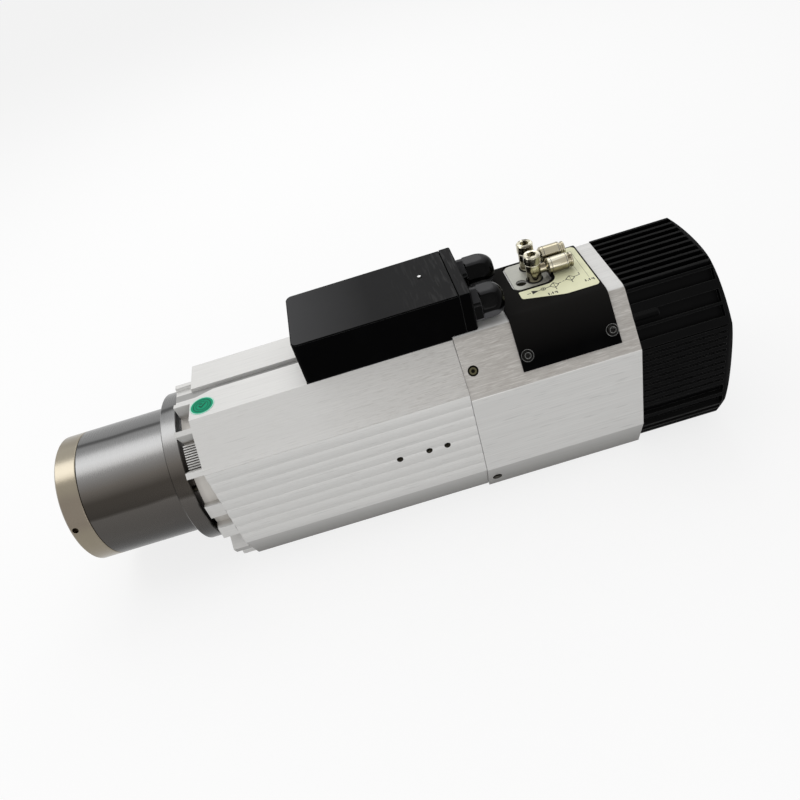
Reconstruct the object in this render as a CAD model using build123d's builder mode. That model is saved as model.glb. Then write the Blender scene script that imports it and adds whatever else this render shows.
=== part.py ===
from build123d import *
import os
from math import atan, atan2, cos, degrees, radians, sin

# ---------------------------------------------------------------------------
# Motor spindle, fan cooled, with an ISO 30 tool taper.  Millimetres.
# Frame: X along the spindle axis, nose towards -X, origin on the axis at the
# nose face (the taper's gauge plane); +Z is the terminal-box side.
# ---------------------------------------------------------------------------

# Positions along the spindle axis
RING_END = 18.0            # rear face of the front ring
NOSE_END = 95.7            # front face of the flange
FLANGE_END = 109.0
CORE_START = 112.5         # front face of the ribbed core tube
SKIN_START = 126.0         # front edge of the outer skin
SEAM = 338.0               # joint between front and rear housing
COVER_START = 473.8        # joint between rear housing and fan cover
COVER_END = 547.0
JOINT_GAP = 0.15           # half of the gap left at each housing joint

# Front housing section, in Y and Z
SIDE_Y = 66.3
BOTTOM_Z = -75.0
FRONT_TOP_Z = 74.8
FRONT_TOP_HALF = 35.2
FRONT_SIDE_TOP = 43.5
SIDE_BOTTOM = -43.0
FRONT_BOTTOM_HALF = 51.5
SKIN = 3.0                 # outer skin thickness
CORE_R = 62.0              # outside of the core tube
BORE_R = 51.0              # stator bore
FLUTES = 8                 # rounded flutes on each side
FLUTE_RISE = 0.8
SLOT_W = 8.0               # slot along the top
SLOT_DEPTH = 3.2
SLOT_BLOCK_HALF = 10.0     # solid strip under the slot
SLOT_BLOCK_DEPTH = 13.0
SLOT_FLARE = 19.0          # length over which the slot's mouth widens
# Ribs on one side: centre direction in degrees from +Z, and width
RIBS = ((9.5, 4.0), (30.5, 4.0), (54.5, 5.0), (86.5, 14.0), (109.0, 12.0), (131.5, 8.0), (160.0, 5.0))
FAR_CORNER_RIB = 1         # index of the rib that stops at the skin on the far side
RIB_MID_R = 72.0
RIB_LENGTH = 34.0
FIN_SECTOR = (35.5, 51.0)
FINS = 10
FIN_WIDTH = 1.0
FIN_HEIGHT = 5.0
BASE_HOLES_X = 232.0       # middle of the base hole pattern
BASE_SPACING_X = 160.0
BASE_HOLE_Y = 40.0
BASE_HOLE_R = 3.4          # M8 tapping size
BASE_HOLE_DEPTH = 14.0
BASE_BOSS = (17.0, 18.0)    # solid strips for the base holes
SIDE_HOLES_X = (272.0, 296.5, 311.6)
SIDE_HOLE_R = 2.5          # M6 tapping size
SIDE_HOLE_Z = -1.0
SIDE_HOLE_DEPTH = 7.0

# Rear housing section, in Y and Z
REAR_TOP_Z = 77.3
REAR_TOP_HALF = 36.0
REAR_SIDE_TOP = 36.4
REAR_BOTTOM_HALF = 54.5
REAR_BORE_R = 52.0
REAR_CORE_R = 57.0
REAR_WALL_T = 4.0
SHOULDER_ROUND = 8.0
SIDE_ROUND = 2.0
REAR_RIBS = ((44.2, 15.0), (70.0, 5.0), (90.0, 6.0), (112.0, 5.0), (136.0, 22.0), (165.0, 5.0))
# Radial screws behind the seam: direction in degrees from +Z, and radius of the surface there
HOUSING_SCREWS = ((44.2, 76.1), (136.0, 85.6))
HOUSING_SCREW_X = 344.0
HOUSING_SINK_R = 4.1       # counterbore of an M4 screw
HOUSING_SINK = 4.7
HOUSING_SCREW_R = 2.0
HOUSING_HEAD_R = 3.5
HOUSING_HEAD = 4.0
REAR_LOW_WALL = 5.0        # closes the channels below the fan cover

# Nose
NOSE_R = 55.0
FLANGE_R = 65.0
FLANGE_BOLTS = 8
FLANGE_BOLT_PCR = 59.5
FLANGE_BOLT_R = 1.9
NECK_RING_R = 57.2         # recessed neck between the flange and the front housing
FLANGE_SINK_R = 4.0
FLANGE_SINK = 5.0
FLANGE_THREAD = 13.5        # screw length below the head
RING_BORE_R = 35.4          # front ring round the shaft nose
RING_SPIGOT_R = 48.0
PIN_HOLE = (4.6, 52.9, 15.2)       # on the front ring, for a pin wrench
PIN_HOLE_R = 2.5
SPIGOT_END = 128.0          # end of the nose inside the stator bore
WAIST_R = 34.0
FRONT_BEARING_R = 40.0     # outer rings, 50 x 80 x 16 bearings
FRONT_SHAFT_R = 25.0
BEARING_W = 16.0
FRONT_BEARING_X = (28.0, 52.0)

# Shaft and tool taper
SHAFT_NOSE_R = 34.9
SHAFT_NOSE_END = 22.2
SHAFT_SHOULDER_R = 30.0
TAPER_R = 15.875           # ISO 30 gauge radius
TAPER_LENGTH = 48.0
TAPER_END_R = TAPER_R - TAPER_LENGTH * 7 / 48
SHAFT_R = 20.0
SHAFT_END = 378.0
KEY_MID_R = 27.0
KEY_LENGTH = 12.0
KEY_WIDTH = 15.9
KEY_SEAT = 6.0
KEY_PROUD = 5.0
CHAMBER_R = 12.5           # gripper chamber
GRIPPER_X = (60.0, 82.0, 94.0)     # jaw tips, jaw roots, back
GRIPPER_JAWS = 6
CHAMBER_X = (51.5, 100.0)
DRAWBAR_R = 7.0
GUIDE_R = 7.05
SPRING_R = 13.5            # disc-spring bore in the shaft
SPRING_X = (190.0, 318.0)
REAR_BEARING_X = 346.0
REAR_BEARING_W = 15.0
REAR_BEARING_R = 34.0      # 40 x 68 x 15 bearing
CARRIER_FRONT_R = 26.0
CARRIER_LIP = (6.0, 29.0)   # thickness and bore of the lip behind the bearing
COLLAR = 8.0               # drawbar collar that the disc springs push
DISC_PAIRS = 6
LOCKNUT_R = 32.5
LOCKNUT_END = 80.0
END_RING = 7.0             # rotor end rings
GUIDE_X = 335.0            # bush that closes the spring bore
NUT_X = 388.0
DRAWBAR_END = 398.0

# Electric motor
STATOR_X = (152.0, 300.0)
STATOR_R = 31.0            # stator bore, with an air gap to the rotor
ROTOR_R = 30.4
ROTOR_SEAT_R = 22.0
WINDING_LENGTH = 22.0
WINDING_ROOT_R = (33.5, 48.0)
WINDING_END_R = (35.5, 45.5)
WINDING_CROWN_R = (38.5, 42.5)

# Release cylinder
CYL_X = (404.0, 446.0)
CYL_BORE_R = 40.0
CYL_WALL = 8.0             # front wall of the cylinder
COVER_SCREW_PCR = 46.0
COVER_SCREWS = 6
SENSOR_R_AT = 19.0
PISTON_X = (430.0, 442.0)
STEM_R = 12.0
RETURN_SPRINGS = 6
RETURN_SPRING_PCR = 27.0

# Terminal box
BOX_X = (221.0, 350.0)
BOX_END = 359.0
BOX_HALF = 35.0
BOX_TOP = 112.0
BOX_WALL = 2.5
BOX_BASE = 75.4            # underside, on a thin gasket
BOX_STEP = 77.6            # underside where the box passes over the rear housing
BOX_SCREW = (327.9, 5.0)
TERMINAL_X = 285.0
TERMINALS = 6
TERMINAL_BASE = (62.0, 30.0, 9.0)
TERMINAL_CELL = (6.5, 22.0, 8.0)
TERMINAL_PITCH = (9.5, 13.0)
TERMINAL_SCREW_R = 2.0

# Cable glands
GLAND_Y = (-21.5, 21.5)
GLAND_Z = 91.5
GLAND_R = 13.6
GLAND_THREAD_R = 10.0
GLAND_BORE_R = 5.0
GLAND_HEX_R = 15.0         # across corners
GLAND_HEX = 6.0
GLAND_SEAM = 0.3
GLAND_ENDS = (384.0, 388.0)        # the nuts are tightened by different amounts

# Saddle cover over the rear housing
SADDLE_X = (382.8, 460.3)
SADDLE_T = 1.7
SADDLE_GAP = 0.1
SADDLE_FOOT_Y = 60.3       # where the flaps end on the shoulders
SADDLE_SCREW_X = (388.7, 455.5)
SADDLE_SCREW_Y = 53.4
SADDLE_SCREW_R = 2.9
SADDLE_HEAD_R = 5.1
SADDLE_HEAD = 2.4
SADDLE_HEX_R = 2.3
WINDOW_GAP = 1.4
LABEL_GAP = 4.0
LABEL_T = 0.15
STICKER = (136.5, -21.5)
STICKER_R = 10.0

# Port plate and elbow fittings
PLATE_X = (398.6, 428.0)
PLATE_Y = (-3.2, 33.6)
PLATE_TOP = 78.3
PLATE_CORNER = 5.0
PORT = (405.8, 5.8)
PORT_R = 4.3
ELBOW_X = 417.0
ELBOW_Y = (6.0, 24.5)
BANJO_R = 6.0
BOLT_HEAD_R = 6.7
BOLT_HEAD_Z = 94.0
BOLT_TOP = 101.5
BOLT_R = 4.8
ARM_Z = 86.3
SLEEVE_R = 6.5
SLEEVE_X = (429.0, 445.0)
NECK_R = 3.9
TUBE_STOP = 430.5
COLLET_X = (436.0, 446.6, 448.4)   # inner end, flange front, flange back
TUBE_R = 4.05              # bore for 8 mm tube
COLLET_R = 5.0
COLLET_FLANGE_R = 5.9

# Fan and its cover
COVER_WALL = 3.0
COVER_RIB = 4.5            # height of the ribs on the top and shoulders
COVER_FIN = 1.3            # height of the fins on the sides
COVER_BOTTOM = -62.0       # the cover stops short of the mounting face
COVER_LOW_Z = -27.0        # below this the grooves of the sides are as deep as the shoulders'
RIM_START = 541.5          # front of the plain rim behind the ribs
RIB_PITCH = 7.8
FIN_PITCH = 6.2
REAR_WALL = 543.5          # front face of the cover's rear wall
FAN_X = (518.0, 543.5)
FAN_SIZE = 92.0
FAN_HOLES = 82.5
SHROUD_R = 44.5
FAN_R = 43.6
HUB_R = 17.0
BLADES = 7
FAN_STRUTS = 3
GUARD_RINGS = (43.0, 34.0, 24.0, 14.0)
GUARD_WIRE = 1.6
FAN_HOLE_R = 2.2
TOP_RIBS = 5               # on each side of the middle
RIB_WIDTH = 2.3
FIN_WIDTH_SIDE = 3.6
# Ribs on the shoulders and the lower slopes: distance from the upper corner, and width
SHOULDER_RIBS = ((5.0, 2.3), (19.0, 7.5), (34.0, 2.0), (47.5, 6.5))
LOW_SIDE_RIBS = ((72.4, 3.6),)
SLOPE_RIBS = ((6.4, 2.6), (14.0, 2.3), (19.1, 2.3))
SIDE_FINS = 10
BASE_RIBS = 7              # on each side of the middle
COVER_BOSS = (49.5, 55.5)
COVER_BOSS_LENGTH = 19.5
DOME_START_R = 60.0        # where the rear end starts to curve forwards
DOME_R = 59.0
DOME_ANGLE = 45.0


def outline(top_half, top_z, side_top, bottom_half, inset=0.0, bottom_z=BOTTOM_Z):
    """Corner points of a housing section, or of its cavity at the given wall thickness."""
    left = [
        (-top_half + 0.4 * inset, top_z - inset),
        (-SIDE_Y + inset, side_top - 0.4 * inset),
        (-SIDE_Y + inset, SIDE_BOTTOM + 0.3 * inset),
        (-bottom_half + 0.7 * inset, bottom_z + inset),
    ]
    right = [(-y, z) for y, z in reversed(left)]
    return left + right


LOW_SLOPE = (SIDE_Y - REAR_BOTTOM_HALF) / (SIDE_BOTTOM - BOTTOM_Z)
COVER_FOOT_HALF = SIDE_Y - (SIDE_BOTTOM - COVER_BOTTOM) * LOW_SLOPE
SHOULDER_SLOPE = (REAR_TOP_Z - REAR_SIDE_TOP) / (SIDE_Y - REAR_TOP_HALF)
SHOULDER_TILT = degrees(atan(SHOULDER_SLOPE))


def shoulder_z(y, sunk=0.0):
    """Height of the rear shoulder face at distance y from the middle, sunk by an amount."""
    drop = sunk * (1 + SHOULDER_SLOPE ** 2) ** 0.5
    return REAR_SIDE_TOP + (SIDE_Y - y) * SHOULDER_SLOPE - drop


def shoulder_y(z, sunk=0.0):
    """Distance from the middle at which the sunk shoulder face has height z."""
    drop = sunk * (1 + SHOULDER_SLOPE ** 2) ** 0.5
    return SIDE_Y - (z + drop - REAR_SIDE_TOP) / SHOULDER_SLOPE


def cover_outline(rib_inset, side_inset):
    """Fan cover section, inset by one amount on the flat sides and by another elsewhere."""
    top = REAR_TOP_Z - rib_inset
    side = SIDE_Y - side_inset
    left = [
        (-shoulder_y(top, rib_inset), top),
        (-side, shoulder_z(side, rib_inset)),
        (-side, COVER_LOW_Z),
        (-SIDE_Y + rib_inset, COVER_LOW_Z - rib_inset + side_inset),
        (-SIDE_Y + rib_inset, SIDE_BOTTOM + 0.3 * rib_inset),
        (-COVER_FOOT_HALF + 0.7 * rib_inset, COVER_BOTTOM + rib_inset),
    ]
    right = [(-y, z) for y, z in reversed(left)]
    return left + right


FRONT = outline(FRONT_TOP_HALF, FRONT_TOP_Z, FRONT_SIDE_TOP, FRONT_BOTTOM_HALF)
FRONT_MIDDLE = outline(FRONT_TOP_HALF, FRONT_TOP_Z, FRONT_SIDE_TOP, FRONT_BOTTOM_HALF, SKIN / 2)
FRONT_CAVITY = outline(FRONT_TOP_HALF, FRONT_TOP_Z, FRONT_SIDE_TOP, FRONT_BOTTOM_HALF, SKIN)
REAR = outline(REAR_TOP_HALF, REAR_TOP_Z, REAR_SIDE_TOP, REAR_BOTTOM_HALF)
REAR_CAVITY = outline(REAR_TOP_HALF, REAR_TOP_Z, REAR_SIDE_TOP, REAR_BOTTOM_HALF, REAR_WALL_T)
COVER_FULL = outline(REAR_TOP_HALF, REAR_TOP_Z, REAR_SIDE_TOP, COVER_FOOT_HALF, bottom_z=COVER_BOTTOM)
COVER_ROOT = cover_outline(COVER_RIB, COVER_FIN)
COVER_CAVITY = cover_outline(COVER_RIB + COVER_WALL, COVER_FIN + COVER_WALL)


def radial_plane(x, direction, radius):
    """Plane facing outwards at a direction from +Z (positive towards -Y) and a radius."""
    out = (0, -sin(radians(direction)), cos(radians(direction)))
    return Plane(origin=(x, radius * out[1], radius * out[2]), x_dir=(1, 0, 0), z_dir=out)


def saddle_screw_plane(x, side, height):
    """Plane on a rear shoulder, at a height above its face."""
    out = (0, side * sin(radians(SHOULDER_TILT)), cos(radians(SHOULDER_TILT)))
    origin = Vector(x, side * SADDLE_SCREW_Y, shoulder_z(SADDLE_SCREW_Y)) + Vector(*out) * height
    return Plane(origin=origin, z_dir=out)


def blade_chord(pitch):
    """Chord that keeps a blade within the impeller's depth at the given pitch angle."""
    return (FAN_X[1] - FAN_X[0] - 6.5) / sin(radians(pitch))


def ring_profile(x0, x1, r0, r1, bevel=0.0):
    """Half section of a ring round the X axis, for use inside a sketch."""
    Polygon(
        (x0, r0),
        (x1, r0),
        (x1, r1 - bevel),
        (x1 - bevel, r1) if bevel else (x1, r1),
        (x0 + bevel, r1) if bevel else (x0, r1),
        (x0, r1 - bevel),
        align=None,
    )


os.makedirs("parts", exist_ok=True)


def save(part, label):
    """Label a finished sub-part and write its STEP file."""
    part.label = label
    export_step(part, f"parts/{label}.step")


# ---------------------------------------------------------------------------
# Nose
# ---------------------------------------------------------------------------

with BuildPart() as front_ring:
    with BuildSketch(Plane.XY):
        Polygon(
            (1.6, RING_BORE_R), (1.6, 44.0), (0.0, 45.2), (0.0, NOSE_R - 1.2), (1.2, NOSE_R),
            (RING_END - 0.5, NOSE_R), (RING_END, NOSE_R - 0.5), (RING_END, RING_SPIGOT_R),
            (FRONT_BEARING_X[0], RING_SPIGOT_R), (FRONT_BEARING_X[0], RING_BORE_R + 1.1),
            (SHAFT_NOSE_END + 0.4, RING_BORE_R + 1.1), (SHAFT_NOSE_END + 0.4, RING_BORE_R),
            align=None,
        )
    revolve(axis=Axis.X)
    # radial holes for a pin wrench
    for side in (-1, 1):
        x, y, z = PIN_HOLE
        with Locations(Plane(origin=(x, side * y, z), z_dir=(0, side * y, z))):
            Hole(radius=PIN_HOLE_R, depth=8)
save(front_ring.part, "front_ring")

with BuildPart() as front_bearing_housing:
    bearings_end = FRONT_BEARING_X[1] + BEARING_W
    with BuildSketch(Plane.XY):
        Polygon(
            (RING_END + 0.3, RING_SPIGOT_R + 0.05), (RING_END + 0.3, NOSE_R - 0.6), (RING_END + 0.9, NOSE_R),
            (NOSE_END, NOSE_R), (NOSE_END, FLANGE_R - 0.8), (NOSE_END + 0.8, FLANGE_R),
            (FLANGE_END - 0.8, FLANGE_R), (FLANGE_END, FLANGE_R - 0.8),
            (FLANGE_END, NECK_RING_R), (CORE_START - JOINT_GAP, NECK_RING_R),
            (CORE_START - JOINT_GAP, BORE_R),
            (SPIGOT_END, BORE_R), (SPIGOT_END, 47.5), (bearings_end + 8, WAIST_R), (bearings_end, WAIST_R),
            (bearings_end, FRONT_BEARING_R), (FRONT_BEARING_X[0], FRONT_BEARING_R),
            (FRONT_BEARING_X[0], RING_SPIGOT_R + 0.05),
            align=None,
        )
    revolve(axis=Axis.X)
    # bolt circle through the flange, heads sunk in its front face
    with Locations(Plane(origin=(NOSE_END, 0, 0), x_dir=(0, 1, 0), z_dir=(-1, 0, 0))):
        with PolarLocations(FLANGE_BOLT_PCR, FLANGE_BOLTS, start_angle=22.5):
            CounterBoreHole(
                radius=2.1, counter_bore_radius=FLANGE_SINK_R, counter_bore_depth=FLANGE_SINK,
                depth=FLANGE_END - NOSE_END,
            )
save(front_bearing_housing.part, "front_bearing_housing")

with BuildPart() as flange_screws:
    head_front = NOSE_END + 1.0
    with BuildSketch(Plane.YZ.offset(head_front)):
        with PolarLocations(FLANGE_BOLT_PCR, FLANGE_BOLTS, start_angle=22.5):
            Circle(FLANGE_SINK_R - 0.3)
    extrude(amount=FLANGE_SINK - 1.0)
    with BuildSketch(Plane.YZ.offset(NOSE_END + FLANGE_SINK)):
        with PolarLocations(FLANGE_BOLT_PCR, FLANGE_BOLTS, start_angle=22.5):
            Circle(FLANGE_BOLT_R)
    extrude(amount=FLANGE_THREAD)
    with BuildSketch(Plane.YZ.offset(head_front)):
        with PolarLocations(FLANGE_BOLT_PCR, FLANGE_BOLTS, start_angle=22.5):
            RegularPolygon(1.8, 6)
    extrude(amount=2.0, mode=Mode.SUBTRACT)
save(flange_screws.part, "flange_screws")

# ---------------------------------------------------------------------------
# Front housing: core tube, ribs and an outer skin that starts further back
# ---------------------------------------------------------------------------


def core_section(limit, far_ribs=RIBS):
    """Core tube with its ribs, fins and bosses, which end at the given outline."""
    Circle(CORE_R)
    for side, ribs in ((-1, far_ribs), (1, RIBS)):
        for direction, width in ribs:
            with PolarLocations(RIB_MID_R, 1, start_angle=90 + side * direction):
                Rectangle(RIB_LENGTH, width)
    fin_step = (FIN_SECTOR[1] - FIN_SECTOR[0]) / (FINS - 1)
    for index in range(FINS):
        for side in (-1, 1):
            direction = FIN_SECTOR[0] + index * fin_step
            with PolarLocations(CORE_R, 1, start_angle=90 + side * direction):
                Rectangle(FIN_HEIGHT * 2, FIN_WIDTH)
    with Locations((0, FRONT_TOP_Z - SLOT_BLOCK_DEPTH / 2)):
        Rectangle(2 * SLOT_BLOCK_HALF, SLOT_BLOCK_DEPTH)
    boss_z = BOTTOM_Z + BASE_BOSS[1] / 2
    with Locations((-BASE_HOLE_Y, boss_z), (BASE_HOLE_Y, boss_z)):
        Rectangle(*BASE_BOSS)
    Polygon(*limit, align=None, mode=Mode.INTERSECT)
    with Locations((0, FRONT_TOP_Z)):
        Rectangle(SLOT_W, 2 * SLOT_DEPTH, mode=Mode.SUBTRACT)


with BuildPart() as front_housing:
    with BuildSketch(Plane.YZ.offset(CORE_START)):
        core_section(FRONT, RIBS[:FAR_CORNER_RIB] + RIBS[FAR_CORNER_RIB + 1:])
    extrude(amount=SKIN_START - CORE_START)
    with BuildSketch(Plane.YZ.offset(SKIN_START)):
        core_section(FRONT_MIDDLE)
    extrude(amount=SEAM - JOINT_GAP - SKIN_START)
    # outer skin with fluted sides
    with BuildSketch(Plane.YZ.offset(SKIN_START)):
        with BuildLine():
            flute_top = FRONT_SIDE_TOP - 1.0
            flute = (flute_top - SIDE_BOTTOM) / FLUTES
            for side in (-1, 1):
                edge = side * SIDE_Y
                valley = edge - side * FLUTE_RISE
                for index in range(FLUTES):
                    high = flute_top - index * flute
                    ThreePointArc((valley, high), (edge, high - flute / 2), (valley, high - flute))
                Polyline((valley, flute_top), (edge, FRONT_SIDE_TOP), (side * FRONT_TOP_HALF, FRONT_TOP_Z))
                Line((valley, SIDE_BOTTOM), (side * FRONT_BOTTOM_HALF, BOTTOM_Z))
            Line((-FRONT_TOP_HALF, FRONT_TOP_Z), (FRONT_TOP_HALF, FRONT_TOP_Z))
            Line((-FRONT_BOTTOM_HALF, BOTTOM_Z), (FRONT_BOTTOM_HALF, BOTTOM_Z))
        make_face()
        Polygon(*FRONT_CAVITY, align=None, mode=Mode.SUBTRACT)
        with Locations((0, FRONT_TOP_Z)):
            Rectangle(SLOT_W, 2 * SLOT_DEPTH, mode=Mode.SUBTRACT)
    extrude(amount=SEAM - JOINT_GAP - SKIN_START)
    # slot floor runs out between the two top ribs and its near edge flares
    with BuildSketch(Plane.XY.offset(FRONT_TOP_Z - SLOT_DEPTH)):
        with Locations((CORE_START, 0)):
            Rectangle(2 * (SKIN_START - CORE_START), 2 * SLOT_BLOCK_HALF)
        Polygon(
            (SKIN_START, -SLOT_BLOCK_HALF), (SKIN_START, 0), (SKIN_START + SLOT_FLARE, 0),
            (SKIN_START + SLOT_FLARE, -SLOT_W / 2), align=None,
        )
    extrude(amount=SLOT_DEPTH, mode=Mode.SUBTRACT)
    # stator bore
    with BuildSketch(Plane.YZ.offset(CORE_START)):
        Circle(BORE_R)
    extrude(amount=SEAM - CORE_START, mode=Mode.SUBTRACT)
    # tapped base holes
    with Locations(Plane(origin=(BASE_HOLES_X, 0, BOTTOM_Z), z_dir=(0, 0, -1))):
        with GridLocations(BASE_SPACING_X, 2 * BASE_HOLE_Y, 2, 2):
            Hole(radius=BASE_HOLE_R, depth=BASE_HOLE_DEPTH)
    # small tapped holes along the side
    for x in SIDE_HOLES_X:
        with Locations(Plane(origin=(x, -SIDE_Y, SIDE_HOLE_Z), z_dir=(0, -1, 0))):
            Hole(radius=SIDE_HOLE_R, depth=SIDE_HOLE_DEPTH)
    # pockets that take the flange screws
    with Locations(Plane(origin=(CORE_START, 0, 0), x_dir=(0, 1, 0), z_dir=(-1, 0, 0))):
        with PolarLocations(FLANGE_BOLT_PCR, FLANGE_BOLTS, start_angle=22.5):
            Hole(radius=FLANGE_BOLT_R, depth=8)
save(front_housing.part, "front_housing")

# ---------------------------------------------------------------------------
# Rear housing
# ---------------------------------------------------------------------------


def rear_section(grow=0.0):
    """Rear housing outline with its rounded corners, grown outwards by the given amount."""
    Polygon(*REAR, align=None)
    fillet(vertices().sort_by(Axis.Y)[-2:], SHOULDER_ROUND)
    fillet(vertices().filter_by(lambda corner: abs(abs(corner.X) - SIDE_Y) < 0.01), SIDE_ROUND)
    fillet(vertices().sort_by(Axis.Y)[:2], SIDE_ROUND)
    if grow:
        offset(amount=grow)


with BuildPart() as rear_housing:
    with BuildSketch(Plane.YZ.offset(SEAM + JOINT_GAP)):
        rear_section()
    extrude(amount=COVER_START - SEAM - 2 * JOINT_GAP)
    # air channels between the core and the wall
    with BuildSketch(Plane.YZ.offset(SEAM)):
        Polygon(*REAR_CAVITY, align=None)
        Circle(REAR_CORE_R, mode=Mode.SUBTRACT)
        for direction, width in REAR_RIBS:
            for side in (-1, 1):
                with PolarLocations(RIB_MID_R, 1, start_angle=90 + side * direction):
                    Rectangle(RIB_LENGTH, width, mode=Mode.SUBTRACT)
        with Locations(((PLATE_Y[0] + PLATE_Y[1]) / 2, REAR_TOP_Z - 10)):
            Rectangle(PLATE_Y[1] - PLATE_Y[0], 20, mode=Mode.SUBTRACT)
    extrude(amount=COVER_START - SEAM, mode=Mode.SUBTRACT)
    with BuildSketch(Plane.YZ.offset(SEAM)):
        Circle(REAR_BORE_R)
    extrude(amount=COVER_START - SEAM, mode=Mode.SUBTRACT)
    # end wall of the channels below the fan cover
    with BuildSketch(Plane.YZ.offset(COVER_START - JOINT_GAP - REAR_LOW_WALL)):
        Polygon(*REAR_CAVITY, align=None)
        with Locations((0, BOTTOM_Z)):
            Rectangle(2 * SIDE_Y, 2 * (COVER_BOTTOM - BOTTOM_Z), mode=Mode.INTERSECT)
    extrude(amount=REAR_LOW_WALL)
    # counterbores behind the seam, on the shoulders and the lower corners
    for side in (-1, 1):
        for direction, radius in HOUSING_SCREWS:
            with Locations(radial_plane(HOUSING_SCREW_X + 2, side * direction, radius + 4)):
                CounterBoreHole(
                    radius=HOUSING_SCREW_R, counter_bore_radius=HOUSING_SINK_R,
                    counter_bore_depth=HOUSING_SINK + 4, depth=radius + 4 - REAR_BORE_R + 1,
                )
        for x in SADDLE_SCREW_X:
            with Locations(saddle_screw_plane(x, side, 1.0)):
                Hole(radius=SADDLE_SCREW_R, depth=10)
    # ports under the plate
    with Locations(Plane(origin=(0, 0, REAR_TOP_Z), z_dir=(0, 0, 1))):
        with Locations((ELBOW_X, ELBOW_Y[0]), (ELBOW_X, ELBOW_Y[1])):
            Hole(radius=BOLT_R, depth=10)
        with Locations(PORT):
            Hole(radius=PORT_R, depth=12)
save(rear_housing.part, "rear_housing")

# ---------------------------------------------------------------------------
# Stator, bearings and carrier
# ---------------------------------------------------------------------------

with BuildPart() as stator_core:
    with BuildSketch(Plane.XY):
        ring_profile(STATOR_X[0], STATOR_X[1], STATOR_R, BORE_R)
    revolve(axis=Axis.X)
save(stator_core.part, "stator_core")

with BuildPart() as end_windings:
    for near, length in ((STATOR_X[0], -WINDING_LENGTH), (STATOR_X[1], WINDING_LENGTH)):
        with BuildSketch(Plane.XY):
            far = near + length
            bulge = far + 0.15 * length
            Polygon(
                (near, WINDING_ROOT_R[0]), (far, WINDING_END_R[0]), (bulge, WINDING_CROWN_R[0]),
                (bulge, WINDING_CROWN_R[1]), (far, WINDING_END_R[1]), (near, WINDING_ROOT_R[1]),
                align=None,
            )
        revolve(axis=Axis.X)
save(end_windings.part, "end_windings")

with BuildPart() as front_outer_rings:
    with BuildSketch(Plane.XY):
        for x in FRONT_BEARING_X:
            ring_profile(x, x + BEARING_W, 35.0, FRONT_BEARING_R, 0.8)
    revolve(axis=Axis.X)
save(front_outer_rings.part, "front_outer_rings")

with BuildPart() as front_outer_spacer:
    with BuildSketch(Plane.XY):
        ring_profile(FRONT_BEARING_X[0] + BEARING_W, FRONT_BEARING_X[1], 36.0, FRONT_BEARING_R)
    revolve(axis=Axis.X)
save(front_outer_spacer.part, "front_outer_spacer")

with BuildPart() as rear_bearing_carrier:
    bearing_end = REAR_BEARING_X + REAR_BEARING_W
    with BuildSketch(Plane.XY):
        Polygon(
            (SEAM + JOINT_GAP, CARRIER_FRONT_R), (SEAM + JOINT_GAP, REAR_BORE_R),
            (bearing_end + CARRIER_LIP[0], REAR_BORE_R), (bearing_end + CARRIER_LIP[0], CARRIER_LIP[1]),
            (bearing_end, CARRIER_LIP[1]), (bearing_end, REAR_BEARING_R),
            (REAR_BEARING_X, REAR_BEARING_R), (REAR_BEARING_X, CARRIER_FRONT_R), align=None,
        )
    revolve(axis=Axis.X)
    for side in (-1, 1):
        for direction, radius in HOUSING_SCREWS:
            with Locations(radial_plane(HOUSING_SCREW_X + 2, side * direction, REAR_BORE_R + 1)):
                Hole(radius=HOUSING_SCREW_R, depth=9)
save(rear_bearing_carrier.part, "rear_bearing_carrier")

with BuildPart() as rear_outer_ring:
    with BuildSketch(Plane.XY):
        ring_profile(REAR_BEARING_X, REAR_BEARING_X + REAR_BEARING_W, 29.5, REAR_BEARING_R, 0.8)
    revolve(axis=Axis.X)
save(rear_outer_ring.part, "rear_outer_ring")

with BuildPart() as housing_screws:
    for side in (-1, 1):
        for direction, radius in HOUSING_SCREWS:
            seat = radius - HOUSING_SINK
            with BuildSketch(radial_plane(HOUSING_SCREW_X + 2, side * direction, seat)):
                Circle(HOUSING_HEAD_R)
            extrude(amount=HOUSING_HEAD)
            with BuildSketch(radial_plane(HOUSING_SCREW_X + 2, side * direction, seat + HOUSING_HEAD)):
                RegularPolygon(HOUSING_HEAD_R / 2, 6)
            extrude(amount=-HOUSING_HEAD / 2, mode=Mode.SUBTRACT)
            with BuildSketch(radial_plane(HOUSING_SCREW_X + 2, side * direction, REAR_BORE_R - 8)):
                Circle(HOUSING_SCREW_R)
            extrude(amount=seat - REAR_BORE_R + 8)
save(housing_screws.part, "housing_screws")

# ---------------------------------------------------------------------------
# Rotor: shaft with the tool taper and what turns with it
# ---------------------------------------------------------------------------

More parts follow.
